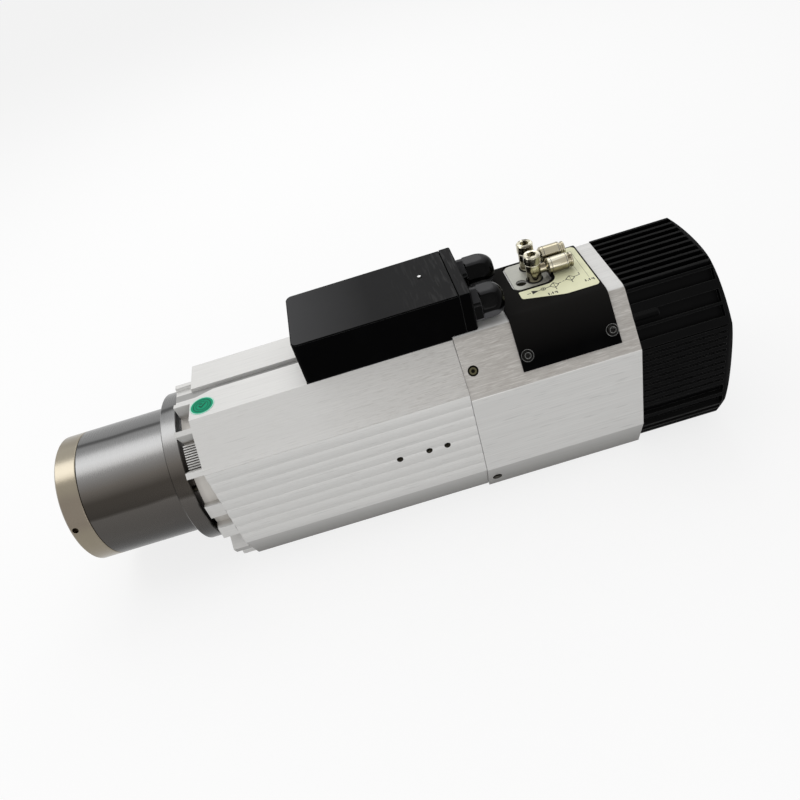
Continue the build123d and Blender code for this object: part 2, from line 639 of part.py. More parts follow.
with BuildPart() as spindle_shaft:
    with BuildSketch(Plane.XY):
        Polygon(
            (0.0, TAPER_R), (0.0, SHAFT_NOSE_R - 0.8), (0.8, SHAFT_NOSE_R), (SHAFT_NOSE_END, SHAFT_NOSE_R),
            (SHAFT_NOSE_END, SHAFT_SHOULDER_R), (FRONT_BEARING_X[0], SHAFT_SHOULDER_R),
            (FRONT_BEARING_X[0], FRONT_SHAFT_R),
            (LOCKNUT_END + 12, FRONT_SHAFT_R), (LOCKNUT_END + 13, FRONT_SHAFT_R - 1),
            (LOCKNUT_END + 50, FRONT_SHAFT_R - 1), (LOCKNUT_END + 52, ROTOR_SEAT_R),
            (STATOR_X[1] + 8, ROTOR_SEAT_R), (STATOR_X[1] + 10, SHAFT_R),
            (SHAFT_END - 1, SHAFT_R), (SHAFT_END, SHAFT_R - 1), (SHAFT_END, SPRING_R),
            (SPRING_X[0], SPRING_R), (SPRING_X[0], GUIDE_R), (CHAMBER_X[1], GUIDE_R),
            (CHAMBER_X[1], CHAMBER_R), (CHAMBER_X[0], CHAMBER_R), (CHAMBER_X[0], TAPER_END_R),
            (TAPER_LENGTH, TAPER_END_R), align=None,
        )
    revolve(axis=Axis.X)
    # seats for the drive keys across the nose face
    with BuildSketch(Plane.YZ):
        for side in (-1, 1):
            with Locations((0, side * KEY_MID_R)):
                Rectangle(KEY_WIDTH, KEY_LENGTH)
    extrude(amount=KEY_SEAT, mode=Mode.SUBTRACT)
save(spindle_shaft.part, "spindle_shaft")

with BuildPart() as drive_keys:
    with BuildSketch(Plane.YZ.offset(-KEY_PROUD)):
        for side in (-1, 1):
            with Locations((0, side * KEY_MID_R)):
                Rectangle(KEY_WIDTH, KEY_LENGTH)
    extrude(amount=KEY_PROUD + KEY_SEAT)
    chamfer(edges().filter_by_position(Axis.X, -KEY_PROUD, -KEY_PROUD), 0.8)
save(drive_keys.part, "drive_keys")

with BuildPart() as front_inner_rings:
    with BuildSketch(Plane.XY):
        for x in FRONT_BEARING_X:
            ring_profile(x, x + BEARING_W, FRONT_SHAFT_R, SHAFT_SHOULDER_R)
    revolve(axis=Axis.X)
save(front_inner_rings.part, "front_inner_rings")

with BuildPart() as front_inner_spacer:
    with BuildSketch(Plane.XY):
        ring_profile(FRONT_BEARING_X[0] + BEARING_W, FRONT_BEARING_X[1], FRONT_SHAFT_R, 29.0)
    revolve(axis=Axis.X)
save(front_inner_spacer.part, "front_inner_spacer")

with BuildPart() as front_locknut:
    with BuildSketch(Plane.XY):
        ring_profile(FRONT_BEARING_X[1] + BEARING_W, LOCKNUT_END, FRONT_SHAFT_R, LOCKNUT_R, 1.0)
    revolve(axis=Axis.X)
    # notches for a hook wrench
    with BuildSketch(Plane.YZ.offset(LOCKNUT_END - 6)):
        with PolarLocations(LOCKNUT_R, 4):
            Rectangle(5.0, 6.0)
    extrude(amount=8.0, mode=Mode.SUBTRACT)
save(front_locknut.part, "front_locknut")

with BuildPart() as rotor_core:
    with BuildSketch(Plane.XY):
        ring_profile(STATOR_X[0], STATOR_X[1], ROTOR_SEAT_R, ROTOR_R)
    revolve(axis=Axis.X)
save(rotor_core.part, "rotor_core")

with BuildPart() as rotor_end_rings:
    with BuildSketch(Plane.XY):
        ring_profile(STATOR_X[0] - END_RING, STATOR_X[0], ROTOR_SEAT_R, 29.5, 1.0)
        ring_profile(STATOR_X[1], STATOR_X[1] + END_RING, ROTOR_SEAT_R, 29.5, 1.0)
    revolve(axis=Axis.X)
save(rotor_end_rings.part, "rotor_end_rings")

with BuildPart() as rear_inner_ring:
    with BuildSketch(Plane.XY):
        ring_profile(REAR_BEARING_X, REAR_BEARING_X + REAR_BEARING_W, SHAFT_R, 24.5)
    revolve(axis=Axis.X)
save(rear_inner_ring.part, "rear_inner_ring")

with BuildPart() as rear_locknut:
    with BuildSketch(Plane.XY):
        ring_profile(REAR_BEARING_X + REAR_BEARING_W, SHAFT_END - 5, SHAFT_R, 27.0, 1.0)
    revolve(axis=Axis.X)
save(rear_locknut.part, "rear_locknut")

with BuildPart() as drawbar_guide:
    with BuildSketch(Plane.XY):
        ring_profile(GUIDE_X, SHAFT_END, GUIDE_R, SPRING_R)
    revolve(axis=Axis.X)
save(drawbar_guide.part, "drawbar_guide")

# ---------------------------------------------------------------------------
# Drawbar with its gripper, springs and nut
# ---------------------------------------------------------------------------

with BuildPart() as drawbar:
    with BuildSketch(Plane.XY):
        Polygon(
            (GRIPPER_X[2] - 10, 0), (GRIPPER_X[2] - 10, DRAWBAR_R - 1), (GRIPPER_X[2] - 9, DRAWBAR_R),
            (SPRING_X[1], DRAWBAR_R), (SPRING_X[1], SPRING_R - 0.07),
            (SPRING_X[1] + COLLAR, SPRING_R - 0.07),
            (SPRING_X[1] + COLLAR, DRAWBAR_R), (DRAWBAR_END, DRAWBAR_R), (DRAWBAR_END, 0), align=None,
        )
    revolve(axis=Axis.X)
save(drawbar.part, "drawbar")

with BuildPart() as tool_gripper:
    with BuildSketch(Plane.XY):
        Polygon(
            (GRIPPER_X[0], 7.0), (GRIPPER_X[0], 11.8), (GRIPPER_X[0] + 6, 11.8), (GRIPPER_X[0] + 8, 10.4),
            (GRIPPER_X[1], 10.4), (GRIPPER_X[1], 11.8), (GRIPPER_X[2], 11.8), (GRIPPER_X[2], DRAWBAR_R),
            (GRIPPER_X[2] - 10, DRAWBAR_R), (GRIPPER_X[2] - 10, 8.6), (GRIPPER_X[0] + 5, 8.6),
            (GRIPPER_X[0] + 4, 7.0), align=None,
        )
    revolve(axis=Axis.X)
    # slits that part the jaws
    with BuildSketch(Plane.YZ.offset(GRIPPER_X[0])):
        with PolarLocations(0, GRIPPER_JAWS // 2, angular_range=180):
            Rectangle(26.0, 1.2)
    extrude(amount=GRIPPER_X[1] - GRIPPER_X[0], mode=Mode.SUBTRACT)
save(tool_gripper.part, "tool_gripper")

with BuildPart() as disc_springs:
    # alternate cones, drawn as one zigzag sleeve
    disc_pitch = (SPRING_X[1] - SPRING_X[0] - 1.0) / (2 * DISC_PAIRS)
    start = SPRING_X[0] + 0.3
    with BuildSketch(Plane.XY):
        for index in range(DISC_PAIRS):
            x = start + 2 * index * disc_pitch
            Polygon(
                (x, 7.4), (x + disc_pitch, 13.1), (x + 2 * disc_pitch, 7.4),
                (x + 2 * disc_pitch, 9.6), (x + disc_pitch + 0.9, 13.1), (x + disc_pitch - 0.9, 13.1),
                (x, 9.6), align=None,
            )
    revolve(axis=Axis.X)
save(disc_springs.part, "disc_springs")

with BuildPart() as drawbar_nut:
    with BuildSketch(Plane.XY):
        Polygon(
            (NUT_X, DRAWBAR_R), (NUT_X, 14.0), (NUT_X + 4.0, 14.0), (NUT_X + 4.0, 17.0),
            (DRAWBAR_END - 0.5, 17.0), (DRAWBAR_END - 0.5, DRAWBAR_R), align=None,
        )
    revolve(axis=Axis.X)
save(drawbar_nut.part, "drawbar_nut")

# ---------------------------------------------------------------------------
# Tool release cylinder
# ---------------------------------------------------------------------------

with BuildPart() as release_cylinder:
    with BuildSketch(Plane.XY):
        Polygon(
            (CYL_X[0], STEM_R + 0.05), (CYL_X[0], REAR_BORE_R), (CYL_X[1], REAR_BORE_R),
            (CYL_X[1], CYL_BORE_R), (CYL_X[0] + CYL_WALL, CYL_BORE_R),
            (CYL_X[0] + CYL_WALL, STEM_R + 0.05), align=None,
        )
    revolve(axis=Axis.X)
    # holes for the two sensors that watch the drawbar nut
    with BuildSketch(Plane.YZ.offset(CYL_X[0])):
        with Locations((-SENSOR_R_AT, 0), (SENSOR_R_AT, 0)):
            Circle(4.0)
    extrude(amount=CYL_WALL, mode=Mode.SUBTRACT)
save(release_cylinder.part, "release_cylinder")

with BuildPart() as release_piston:
    with BuildSketch(Plane.XY):
        Polygon(
            (DRAWBAR_END + 0.4, 0), (DRAWBAR_END + 0.4, STEM_R - 1), (DRAWBAR_END + 1.4, STEM_R),
            (PISTON_X[0], STEM_R), (PISTON_X[0], CYL_BORE_R - 0.05), (PISTON_X[0] + 4, CYL_BORE_R - 0.05),
            (PISTON_X[0] + 4, CYL_BORE_R - 1.5), (PISTON_X[0] + 8, CYL_BORE_R - 1.5),
            (PISTON_X[0] + 8, CYL_BORE_R - 0.05), (PISTON_X[1], CYL_BORE_R - 0.05), (PISTON_X[1], 0),
            align=None,
        )
    revolve(axis=Axis.X)
save(release_piston.part, "release_piston")

with BuildPart() as piston_seal:
    with BuildSketch(Plane.XY):
        ring_profile(PISTON_X[0] + 4.2, PISTON_X[0] + 7.8, CYL_BORE_R - 1.5, CYL_BORE_R - 0.05, 0.5)
    revolve(axis=Axis.X)
save(piston_seal.part, "piston_seal")

with BuildPart() as return_springs:
    with BuildSketch(Plane.YZ.offset(CYL_X[0] + CYL_WALL + 0.2)):
        with PolarLocations(RETURN_SPRING_PCR, RETURN_SPRINGS, start_angle=30):
            Circle(3.6)
            Circle(2.6, mode=Mode.SUBTRACT)
    extrude(amount=PISTON_X[0] - CYL_X[0] - CYL_WALL - 0.4)
save(return_springs.part, "return_springs")

with BuildPart() as cylinder_cover:
    with BuildSketch(Plane.XY):
        Polygon(
            (CYL_X[1], 0), (CYL_X[1], REAR_BORE_R), (CYL_X[1] + 7, REAR_BORE_R),
            (CYL_X[1] + 7, 30), (CYL_X[1] + 11, 28), (CYL_X[1] + 11, 0), align=None,
        )
    revolve(axis=Axis.X)
    with Locations(Plane.YZ.offset(CYL_X[1] + 7)):
        with PolarLocations(COVER_SCREW_PCR, COVER_SCREWS):
            Hole(radius=2.0, depth=7)
save(cylinder_cover.part, "cylinder_cover")

with BuildPart() as cylinder_screws:
    with BuildSketch(Plane.YZ.offset(CYL_X[1] + 7)):
        with PolarLocations(COVER_SCREW_PCR, COVER_SCREWS):
            Circle(3.5)
    extrude(amount=4.0)
    with BuildSketch(Plane.YZ.offset(CYL_X[1])):
        with PolarLocations(COVER_SCREW_PCR, COVER_SCREWS):
            Circle(2.0)
    extrude(amount=7.0)
    with BuildSketch(Plane.YZ.offset(CYL_X[1] + 11)):
        with PolarLocations(COVER_SCREW_PCR, COVER_SCREWS):
            RegularPolygon(1.7, 6)
    extrude(amount=-2.0, mode=Mode.SUBTRACT)
save(cylinder_screws.part, "cylinder_screws")

with BuildPart() as proximity_sensors:
    with BuildSketch(Plane.YZ.offset(DRAWBAR_END + 1.5)):
        with Locations((-SENSOR_R_AT, 0), (SENSOR_R_AT, 0)):
            Circle(4.0)
    extrude(amount=CYL_X[0] + CYL_WALL - DRAWBAR_END - 1.5)
save(proximity_sensors.part, "proximity_sensors")

# ---------------------------------------------------------------------------
# Terminal box
# ---------------------------------------------------------------------------

with BuildPart() as terminal_box:
    box_length = BOX_X[1] - BOX_X[0]
    box_middle = (BOX_X[0] + BOX_X[1]) / 2
    with BuildSketch(Plane.XY.offset(BOX_BASE)):
        with Locations((box_middle, 0)):
            Rectangle(box_length, 2 * BOX_HALF)
    extrude(amount=BOX_TOP - BOX_BASE)
    fillet(edges().filter_by(Axis.Z).sort_by(Axis.X)[:2], 5.0)
    chamfer(faces().sort_by(Axis.Z)[-1].edges(), 0.8)
    with BuildSketch(Plane.XY.offset(BOX_BASE)):
        with Locations((box_middle + BOX_WALL / 2, 0)):
            Rectangle(box_length - BOX_WALL, 2 * (BOX_HALF - BOX_WALL))
    extrude(amount=BOX_TOP - BOX_BASE - BOX_WALL, mode=Mode.SUBTRACT)
    # the underside steps up where it passes over the rear housing
    with BuildSketch(Plane.XZ.offset(-BOX_HALF)):
        with Locations(((SEAM + BOX_X[1]) / 2 + 1, BOX_BASE)):
            Rectangle(BOX_X[1] - SEAM + 2.4, 2 * (BOX_STEP - BOX_BASE))
    extrude(amount=2 * BOX_HALF, mode=Mode.SUBTRACT)
    with Locations(Plane(origin=(BOX_SCREW[0], BOX_SCREW[1], BOX_TOP), z_dir=(0, 0, 1))):
        Hole(radius=1.4, depth=BOX_WALL)
save(terminal_box.part, "terminal_box")

with BuildPart() as box_screw:
    with BuildSketch(Plane.XY.offset(BOX_TOP)):
        with Locations(BOX_SCREW):
            Circle(2.4)
    extrude(amount=1.0)
    with BuildSketch(Plane.XY.offset(BOX_TOP - 7)):
        with Locations(BOX_SCREW):
            Circle(1.4)
    extrude(amount=7)
save(box_screw.part, "box_screw")

with BuildPart() as box_end_plate:
    with BuildSketch(Plane.YZ.offset(BOX_X[1] + 0.2)):
        with Locations((0, (BOX_TOP + BOX_STEP) / 2)):
            Rectangle(2 * BOX_HALF, BOX_TOP - BOX_STEP)
    extrude(amount=BOX_END - BOX_X[1] - 0.2)
    chamfer(edges().group_by(Axis.X)[-1], 0.8)
    with BuildSketch(Plane.YZ.offset(BOX_X[1])):
        with Locations((0, (BOX_TOP + BOX_STEP) / 2)):
            Rectangle(2 * BOX_HALF - 8, BOX_TOP - BOX_STEP - 8)
    extrude(amount=BOX_END - BOX_X[1] - 3.5, mode=Mode.SUBTRACT)
    with Locations(Plane.YZ.offset(BOX_END)):
        with Locations((GLAND_Y[0], GLAND_Z), (GLAND_Y[1], GLAND_Z)):
            Hole(radius=GLAND_THREAD_R, depth=BOX_END - BOX_X[1])
save(box_end_plate.part, "box_end_plate")

with BuildPart() as box_gasket:
    with BuildSketch(Plane.XY.offset(FRONT_TOP_Z)):
        with Locations(((BOX_X[0] + SEAM) / 2, 0)):
            Rectangle(SEAM - BOX_X[0] - 1, 2 * BOX_HALF)
            Rectangle(SEAM - BOX_X[0] - 9, 2 * BOX_HALF - 9, mode=Mode.SUBTRACT)
    extrude(amount=BOX_BASE - FRONT_TOP_Z)
save(box_gasket.part, "box_gasket")

with BuildPart() as terminal_block:
    with BuildSketch(Plane.XY.offset(FRONT_TOP_Z)):
        with Locations((TERMINAL_X, 0)):
            Rectangle(TERMINAL_BASE[0], TERMINAL_BASE[1])
    extrude(amount=TERMINAL_BASE[2])
    cell_z = FRONT_TOP_Z + TERMINAL_BASE[2]
    with BuildSketch(Plane.XY.offset(cell_z)):
        with Locations((TERMINAL_X, 0)):
            with GridLocations(TERMINAL_PITCH[0], 0, TERMINALS, 1):
                Rectangle(TERMINAL_CELL[0], TERMINAL_CELL[1])
    extrude(amount=TERMINAL_CELL[2])
    with Locations(Plane(origin=(TERMINAL_X, 0, cell_z + TERMINAL_CELL[2]), z_dir=(0, 0, 1))):
        with GridLocations(*TERMINAL_PITCH, TERMINALS, 2):
            Hole(radius=TERMINAL_SCREW_R, depth=4)
save(terminal_block.part, "terminal_block")

with BuildPart() as gland_bodies:
    for y in GLAND_Y:
        with BuildSketch(Plane.YZ.offset(BOX_END)):
            with Locations((y, GLAND_Z)):
                RegularPolygon(GLAND_HEX_R, 6, rotation=30)
                Circle(GLAND_HEX_R - 0.8, mode=Mode.INTERSECT)
        extrude(amount=GLAND_HEX)
        with BuildSketch(Plane.YZ.offset(BOX_X[1] - 3)):
            with Locations((y, GLAND_Z)):
                Circle(GLAND_THREAD_R)
        extrude(amount=BOX_END - BOX_X[1] + 3)
        with BuildSketch(Plane.YZ.offset(BOX_X[1] - 3)):
            with Locations((y, GLAND_Z)):
                Circle(GLAND_BORE_R)
        extrude(amount=BOX_END - BOX_X[1] + 3 + GLAND_HEX, mode=Mode.SUBTRACT)
save(gland_bodies.part, "gland_bodies")

with BuildPart() as gland_nuts:
    for y, end in zip(GLAND_Y, GLAND_ENDS):
        start = BOX_END + GLAND_HEX + GLAND_SEAM
        nut = end - start
        with BuildSketch(Plane(origin=(start, y, GLAND_Z), x_dir=(1, 0, 0), z_dir=(0, 0, 1))):
            with BuildLine():
                Polyline(
                    (nut, GLAND_BORE_R), (0, GLAND_BORE_R), (0, GLAND_R - 0.8), (0.8, GLAND_R),
                    (nut * 0.5, GLAND_R),
                )
                ThreePointArc((nut * 0.5, GLAND_R), (nut * 0.86, GLAND_R * 0.82), (nut, GLAND_R * 0.52))
                Line((nut, GLAND_R * 0.52), (nut, GLAND_BORE_R))
            make_face()
        revolve(axis=Axis((0, y, GLAND_Z), (1, 0, 0)))
save(gland_nuts.part, "gland_nuts")

# ---------------------------------------------------------------------------
# Saddle cover, port plate, label and sticker
# ---------------------------------------------------------------------------

with BuildPart() as saddle_cover:
    foot_z = shoulder_z(SADDLE_FOOT_Y)
    across = (sin(radians(SHOULDER_TILT)), cos(radians(SHOULDER_TILT)))
    foot_out = (SADDLE_FOOT_Y + 10 * across[0], foot_z + 10 * across[1])
    foot_in = (SADDLE_FOOT_Y - 20 * across[0], foot_z - 20 * across[1])
    with BuildSketch(Plane.YZ.offset(SADDLE_X[0])):
        rear_section(SADDLE_GAP + SADDLE_T)
        Polygon(
            (-foot_in[0], foot_in[1]), (-foot_out[0], foot_out[1]), (-SADDLE_FOOT_Y, 120),
            (SADDLE_FOOT_Y, 120), foot_out, foot_in, align=None, mode=Mode.INTERSECT,
        )
    extrude(amount=SADDLE_X[1] - SADDLE_X[0])
    with BuildSketch(Plane.YZ.offset(SADDLE_X[0])):
        rear_section(SADDLE_GAP)
    extrude(amount=SADDLE_X[1] - SADDLE_X[0], mode=Mode.SUBTRACT)
    with BuildSketch(Plane.XY.offset(REAR_TOP_Z)):
        with Locations(((PLATE_X[0] + PLATE_X[1]) / 2, (PLATE_Y[0] + PLATE_Y[1]) / 2)):
            RectangleRounded(
                PLATE_X[1] - PLATE_X[0] + 2 * WINDOW_GAP, PLATE_Y[1] - PLATE_Y[0] + 2 * WINDOW_GAP,
                PLATE_CORNER + WINDOW_GAP,
            )
    extrude(amount=5, mode=Mode.SUBTRACT)
    for side in (-1, 1):
        for x in SADDLE_SCREW_X:
            with Locations(saddle_screw_plane(x, side, SADDLE_T + 1)):
                Hole(radius=SADDLE_SCREW_R + 0.4, depth=4)
save(saddle_cover.part, "saddle_cover")

with BuildPart() as saddle_screws:
    for side in (-1, 1):
        for x in SADDLE_SCREW_X:
            with BuildSketch(saddle_screw_plane(x, side, SADDLE_GAP + SADDLE_T)):
                Circle(SADDLE_HEAD_R)
            extrude(amount=SADDLE_HEAD, taper=18)
            with BuildSketch(saddle_screw_plane(x, side, SADDLE_GAP + SADDLE_T + SADDLE_HEAD)):
                RegularPolygon(SADDLE_HEX_R, 6)
            extrude(amount=-SADDLE_HEAD * 2 / 3, mode=Mode.SUBTRACT)
            with BuildSketch(saddle_screw_plane(x, side, -8)):
                Circle(SADDLE_SCREW_R)
            extrude(amount=8 + SADDLE_GAP + SADDLE_T)
save(saddle_screws.part, "saddle_screws")

with BuildPart() as port_plate:
    with BuildSketch(Plane.XY.offset(REAR_TOP_Z)):
        with Locations(((PLATE_X[0] + PLATE_X[1]) / 2, (PLATE_Y[0] + PLATE_Y[1]) / 2)):
            RectangleRounded(PLATE_X[1] - PLATE_X[0], PLATE_Y[1] - PLATE_Y[0], PLATE_CORNER)
    extrude(amount=PLATE_TOP - REAR_TOP_Z)
    with Locations(Plane(origin=(0, 0, PLATE_TOP), z_dir=(0, 0, 1))):
        with Locations(PORT):
            Hole(radius=PORT_R, depth=PLATE_TOP - REAR_TOP_Z)
        with Locations((ELBOW_X, ELBOW_Y[0]), (ELBOW_X, ELBOW_Y[1])):
            Hole(radius=BOLT_R, depth=PLATE_TOP - REAR_TOP_Z)
save(port_plate.part, "port_plate")

with BuildPart() as diagram_label:
    label_z = REAR_TOP_Z + SADDLE_GAP + SADDLE_T
    with BuildSketch(Plane.XY.offset(label_z)):
        Polygon(
            (PLATE_X[0] + 1, PLATE_Y[0] + 6), (PLATE_X[0] + 1, -17.0), (432.0, -26.6), (459.0, -26.6),
            (459.0, 33.5), (PLATE_X[1] - 6, 33.5), align=None,
        )
        fillet(vertices().filter_by(lambda v: v.X > 458), 3.0)
        fillet(vertices().sort_by(Axis.Y)[:3].sort_by(Axis.X)[:1], 2.0)
        with Locations(((PLATE_X[0] + PLATE_X[1]) / 2, (PLATE_Y[0] + PLATE_Y[1]) / 2)):
            RectangleRounded(
                PLATE_X[1] - PLATE_X[0] + 2 * LABEL_GAP, PLATE_Y[1] - PLATE_Y[0] + 2 * LABEL_GAP,
                PLATE_CORNER + LABEL_GAP, mode=Mode.SUBTRACT,
            )
    extrude(amount=LABEL_T)
save(diagram_label.part, "diagram_label")

with BuildPart() as inspection_sticker:
    with BuildSketch(Plane.XY.offset(FRONT_TOP_Z)):
        with Locations(STICKER):
            Circle(STICKER_R)
    extrude(amount=LABEL_T)
save(inspection_sticker.part, "inspection_sticker")

# ---------------------------------------------------------------------------
# Elbow push-in fittings
# ---------------------------------------------------------------------------

with BuildPart() as banjo_bolts:
    for y in ELBOW_Y:
        with BuildSketch(Plane(origin=(ELBOW_X, y, 0), x_dir=(1, 0, 0), z_dir=(0, -1, 0))):
            Polygon(
                (0, REAR_TOP_Z - 9), (BOLT_R - 0.8, REAR_TOP_Z - 9), (BOLT_R, REAR_TOP_Z - 8),
                (BOLT_R, BOLT_HEAD_Z), (BOLT_HEAD_R - 0.4, BOLT_HEAD_Z), (BOLT_HEAD_R, BOLT_HEAD_Z + 0.5),
                (BOLT_HEAD_R, BOLT_TOP - 0.8), (BOLT_HEAD_R - 0.8, BOLT_TOP), (0, BOLT_TOP), align=None,
            )
        revolve(axis=Axis((ELBOW_X, y, 0), (0, 0, 1)))
        with BuildSketch(Plane.XY.offset(BOLT_TOP)):
            with Locations((ELBOW_X, y)):
                RegularPolygon(3.8, 6)
        extrude(amount=-4.5, mode=Mode.SUBTRACT)
save(banjo_bolts.part, "banjo_bolts")


def elbow_arm():
    """Outer half section of the tube sleeve and its neck, along the arm's axis."""
    Polygon(
        (ELBOW_X, 0), (ELBOW_X, NECK_R), (SLEEVE_X[0] - 2.5, NECK_R), (SLEEVE_X[0] - 1.0, SLEEVE_R - 0.9),
        (SLEEVE_X[0], SLEEVE_R), (SLEEVE_X[1] - 0.6, SLEEVE_R), (SLEEVE_X[1], SLEEVE_R - 0.6),
        (SLEEVE_X[1], 0), align=None,
    )


for name, y in zip(("near", "far"), ELBOW_Y):
    with BuildPart() as elbow:
        with BuildSketch(Plane(origin=(ELBOW_X, y, 0), x_dir=(1, 0, 0), z_dir=(0, -1, 0))):
            Polygon(
                (0, PLATE_TOP + 0.3), (BANJO_R - 0.4, PLATE_TOP + 0.3), (BANJO_R, PLATE_TOP + 0.8),
                (BANJO_R, BOLT_HEAD_Z - 0.8), (BANJO_R - 0.4, BOLT_HEAD_Z - 0.3), (0, BOLT_HEAD_Z - 0.3),
                align=None,
            )
        revolve(axis=Axis((ELBOW_X, y, 0), (0, 0, 1)))
        with BuildSketch(Plane(origin=(0, y, ARM_Z), x_dir=(1, 0, 0), z_dir=(0, 0, 1))):
            elbow_arm()
        revolve(axis=Axis((0, y, ARM_Z), (1, 0, 0)))
        with BuildSketch(Plane(origin=(0, y, ARM_Z), x_dir=(1, 0, 0), z_dir=(0, 0, 1))):
            ring_profile(COLLET_X[0] - 2.0, SLEEVE_X[1], 0, COLLET_R + 0.05)
            ring_profile(TUBE_STOP, COLLET_X[0] - 2.0, 0, TUBE_R)
            ring_profile(ELBOW_X, TUBE_STOP, 0, 2.5)
        revolve(axis=Axis((0, y, ARM_Z), (1, 0, 0)), mode=Mode.SUBTRACT)
        with BuildSketch(Plane.XY.offset(PLATE_TOP)):
            with Locations((ELBOW_X, y)):
                Circle(BOLT_R + 0.06)
        extrude(amount=BOLT_HEAD_Z - PLATE_TOP, mode=Mode.SUBTRACT)
    save(elbow.part, f"elbow_{name}")

    with BuildPart() as collet:
        with BuildSketch(Plane(origin=(0, y, ARM_Z), x_dir=(1, 0, 0), z_dir=(0, 0, 1))):
            Polygon(
                (COLLET_X[0], TUBE_R), (COLLET_X[0], COLLET_R), (COLLET_X[1], COLLET_R),
                (COLLET_X[1], COLLET_FLANGE_R - 0.3), (COLLET_X[1] + 0.3, COLLET_FLANGE_R),
                (COLLET_X[2] - 0.4, COLLET_FLANGE_R), (COLLET_X[2], COLLET_FLANGE_R - 0.4),
                (COLLET_X[2], TUBE_R), align=None,
            )
        revolve(axis=Axis((0, y, ARM_Z), (1, 0, 0)))
    save(collet.part, f"release_collet_{name}")

# ---------------------------------------------------------------------------
# Fan and fan cover
# ---------------------------------------------------------------------------


def edge_ribs(start, end, places, height):
    """Ribs that stand inwards from an edge: each has a distance along it and a width."""
    along = Vector(end[0] - start[0], end[1] - start[1]).normalized()
    angle = degrees(atan2(along.Y, along.X))
    for place, width in places:
        centre = (start[0] + along.X * place, start[1] + along.Y * place, 0)
        with Locations(Location(centre, (0, 0, angle))):
            Rectangle(width, 2 * (height + COVER_WALL))


with BuildPart() as fan_cover:
    with BuildSketch(Plane.YZ.offset(COVER_START + JOINT_GAP)):
        Polygon(*COVER_ROOT, align=None)
        top_ribs = [(RIB_PITCH * (index + 0.5), RIB_WIDTH) for index in range(TOP_RIBS)]
        side_fins = [(FIN_PITCH * (index + 0.5), FIN_WIDTH_SIDE) for index in range(SIDE_FINS)]
        base_ribs = [(RIB_PITCH * (index + 0.5), RIB_WIDTH) for index in range(BASE_RIBS)]
        for side in (-1, 1):
            shoulder = (side * REAR_TOP_HALF, REAR_TOP_Z)
            edge = (side * SIDE_Y, REAR_SIDE_TOP)
            low_edge = (side * SIDE_Y, SIDE_BOTTOM)
            foot = (side * COVER_FOOT_HALF, COVER_BOTTOM)
            edge_ribs((0, REAR_TOP_Z), shoulder, top_ribs, COVER_RIB)
            edge_ribs(shoulder, edge, SHOULDER_RIBS, COVER_RIB)
            edge_ribs(edge, low_edge, side_fins, COVER_FIN)
            edge_ribs(edge, low_edge, LOW_SIDE_RIBS, COVER_RIB)
            edge_ribs(low_edge, foot, SLOPE_RIBS, COVER_RIB)
            edge_ribs((0, COVER_BOTTOM), foot, base_ribs, COVER_RIB)
        Polygon(*COVER_FULL, align=None, mode=Mode.INTERSECT)
    extrude(amount=RIM_START - COVER_START - JOINT_GAP)
    with BuildSketch(Plane.YZ.offset(RIM_START)):
        Polygon(*COVER_FULL, align=None)
    extrude(amount=COVER_END - RIM_START)
    # bosses for the two cover screws, on the shoulders
    for side in (-1, 1):
        with BuildSketch(Plane.YZ.offset(COVER_START + JOINT_GAP)):
            with Locations((side * COVER_BOSS[0], COVER_BOSS[1])):
                Circle(3.4)
        extrude(amount=COVER_BOSS_LENGTH)
    # the rear end is turned to a dome that runs out over the corners
    with BuildSketch(Plane.XY):
        with BuildLine():
            dome = JernArc((COVER_END, DOME_START_R), (0, 1), DOME_R, DOME_ANGLE)
            Polyline(
                dome @ 1, (COVER_START, DOME_START_R + DOME_R), (COVER_START, 0), (COVER_END, 0),
                (COVER_END, DOME_START_R),
            )
        make_face()
    revolve(axis=Axis.X, mode=Mode.INTERSECT)
    # air space in front of the rear wall, and the fan opening through it
    with BuildSketch(Plane.YZ.offset(COVER_START)):
        Polygon(*COVER_CAVITY, align=None)
    extrude(amount=REAR_WALL - COVER_START, mode=Mode.SUBTRACT)
    with BuildSketch(Plane.YZ.offset(REAR_WALL)):
        Circle(SHROUD_R)
        with GridLocations(FAN_HOLES, FAN_HOLES, 2, 2):
            Circle(FAN_HOLE_R)
    extrude(amount=COVER_END - REAR_WALL, mode=Mode.SUBTRACT)
save(fan_cover.part, "fan_cover")

with BuildPart() as fan_frame:
    with BuildSketch(Plane.YZ.offset(FAN_X[0])):
        RectangleRounded(FAN_SIZE, FAN_SIZE, 4)
        Circle(SHROUD_R, mode=Mode.SUBTRACT)
        with GridLocations(FAN_HOLES, FAN_HOLES, 2, 2):
            Circle(FAN_HOLE_R, mode=Mode.SUBTRACT)
    extrude(amount=FAN_X[1] - FAN_X[0])
    with BuildSketch(Plane.YZ.offset(FAN_X[0])):
        Circle(HUB_R)
        with PolarLocations((SHROUD_R + HUB_R) / 2, FAN_STRUTS, start_angle=20):
            Rectangle(SHROUD_R - HUB_R + 3, 5.0)
    extrude(amount=3.0)
    with BuildSketch(Plane.YZ.offset(FAN_X[0] + 3)):
        Circle(4.0)
    extrude(amount=3.0)
save(fan_frame.part, "fan_frame")

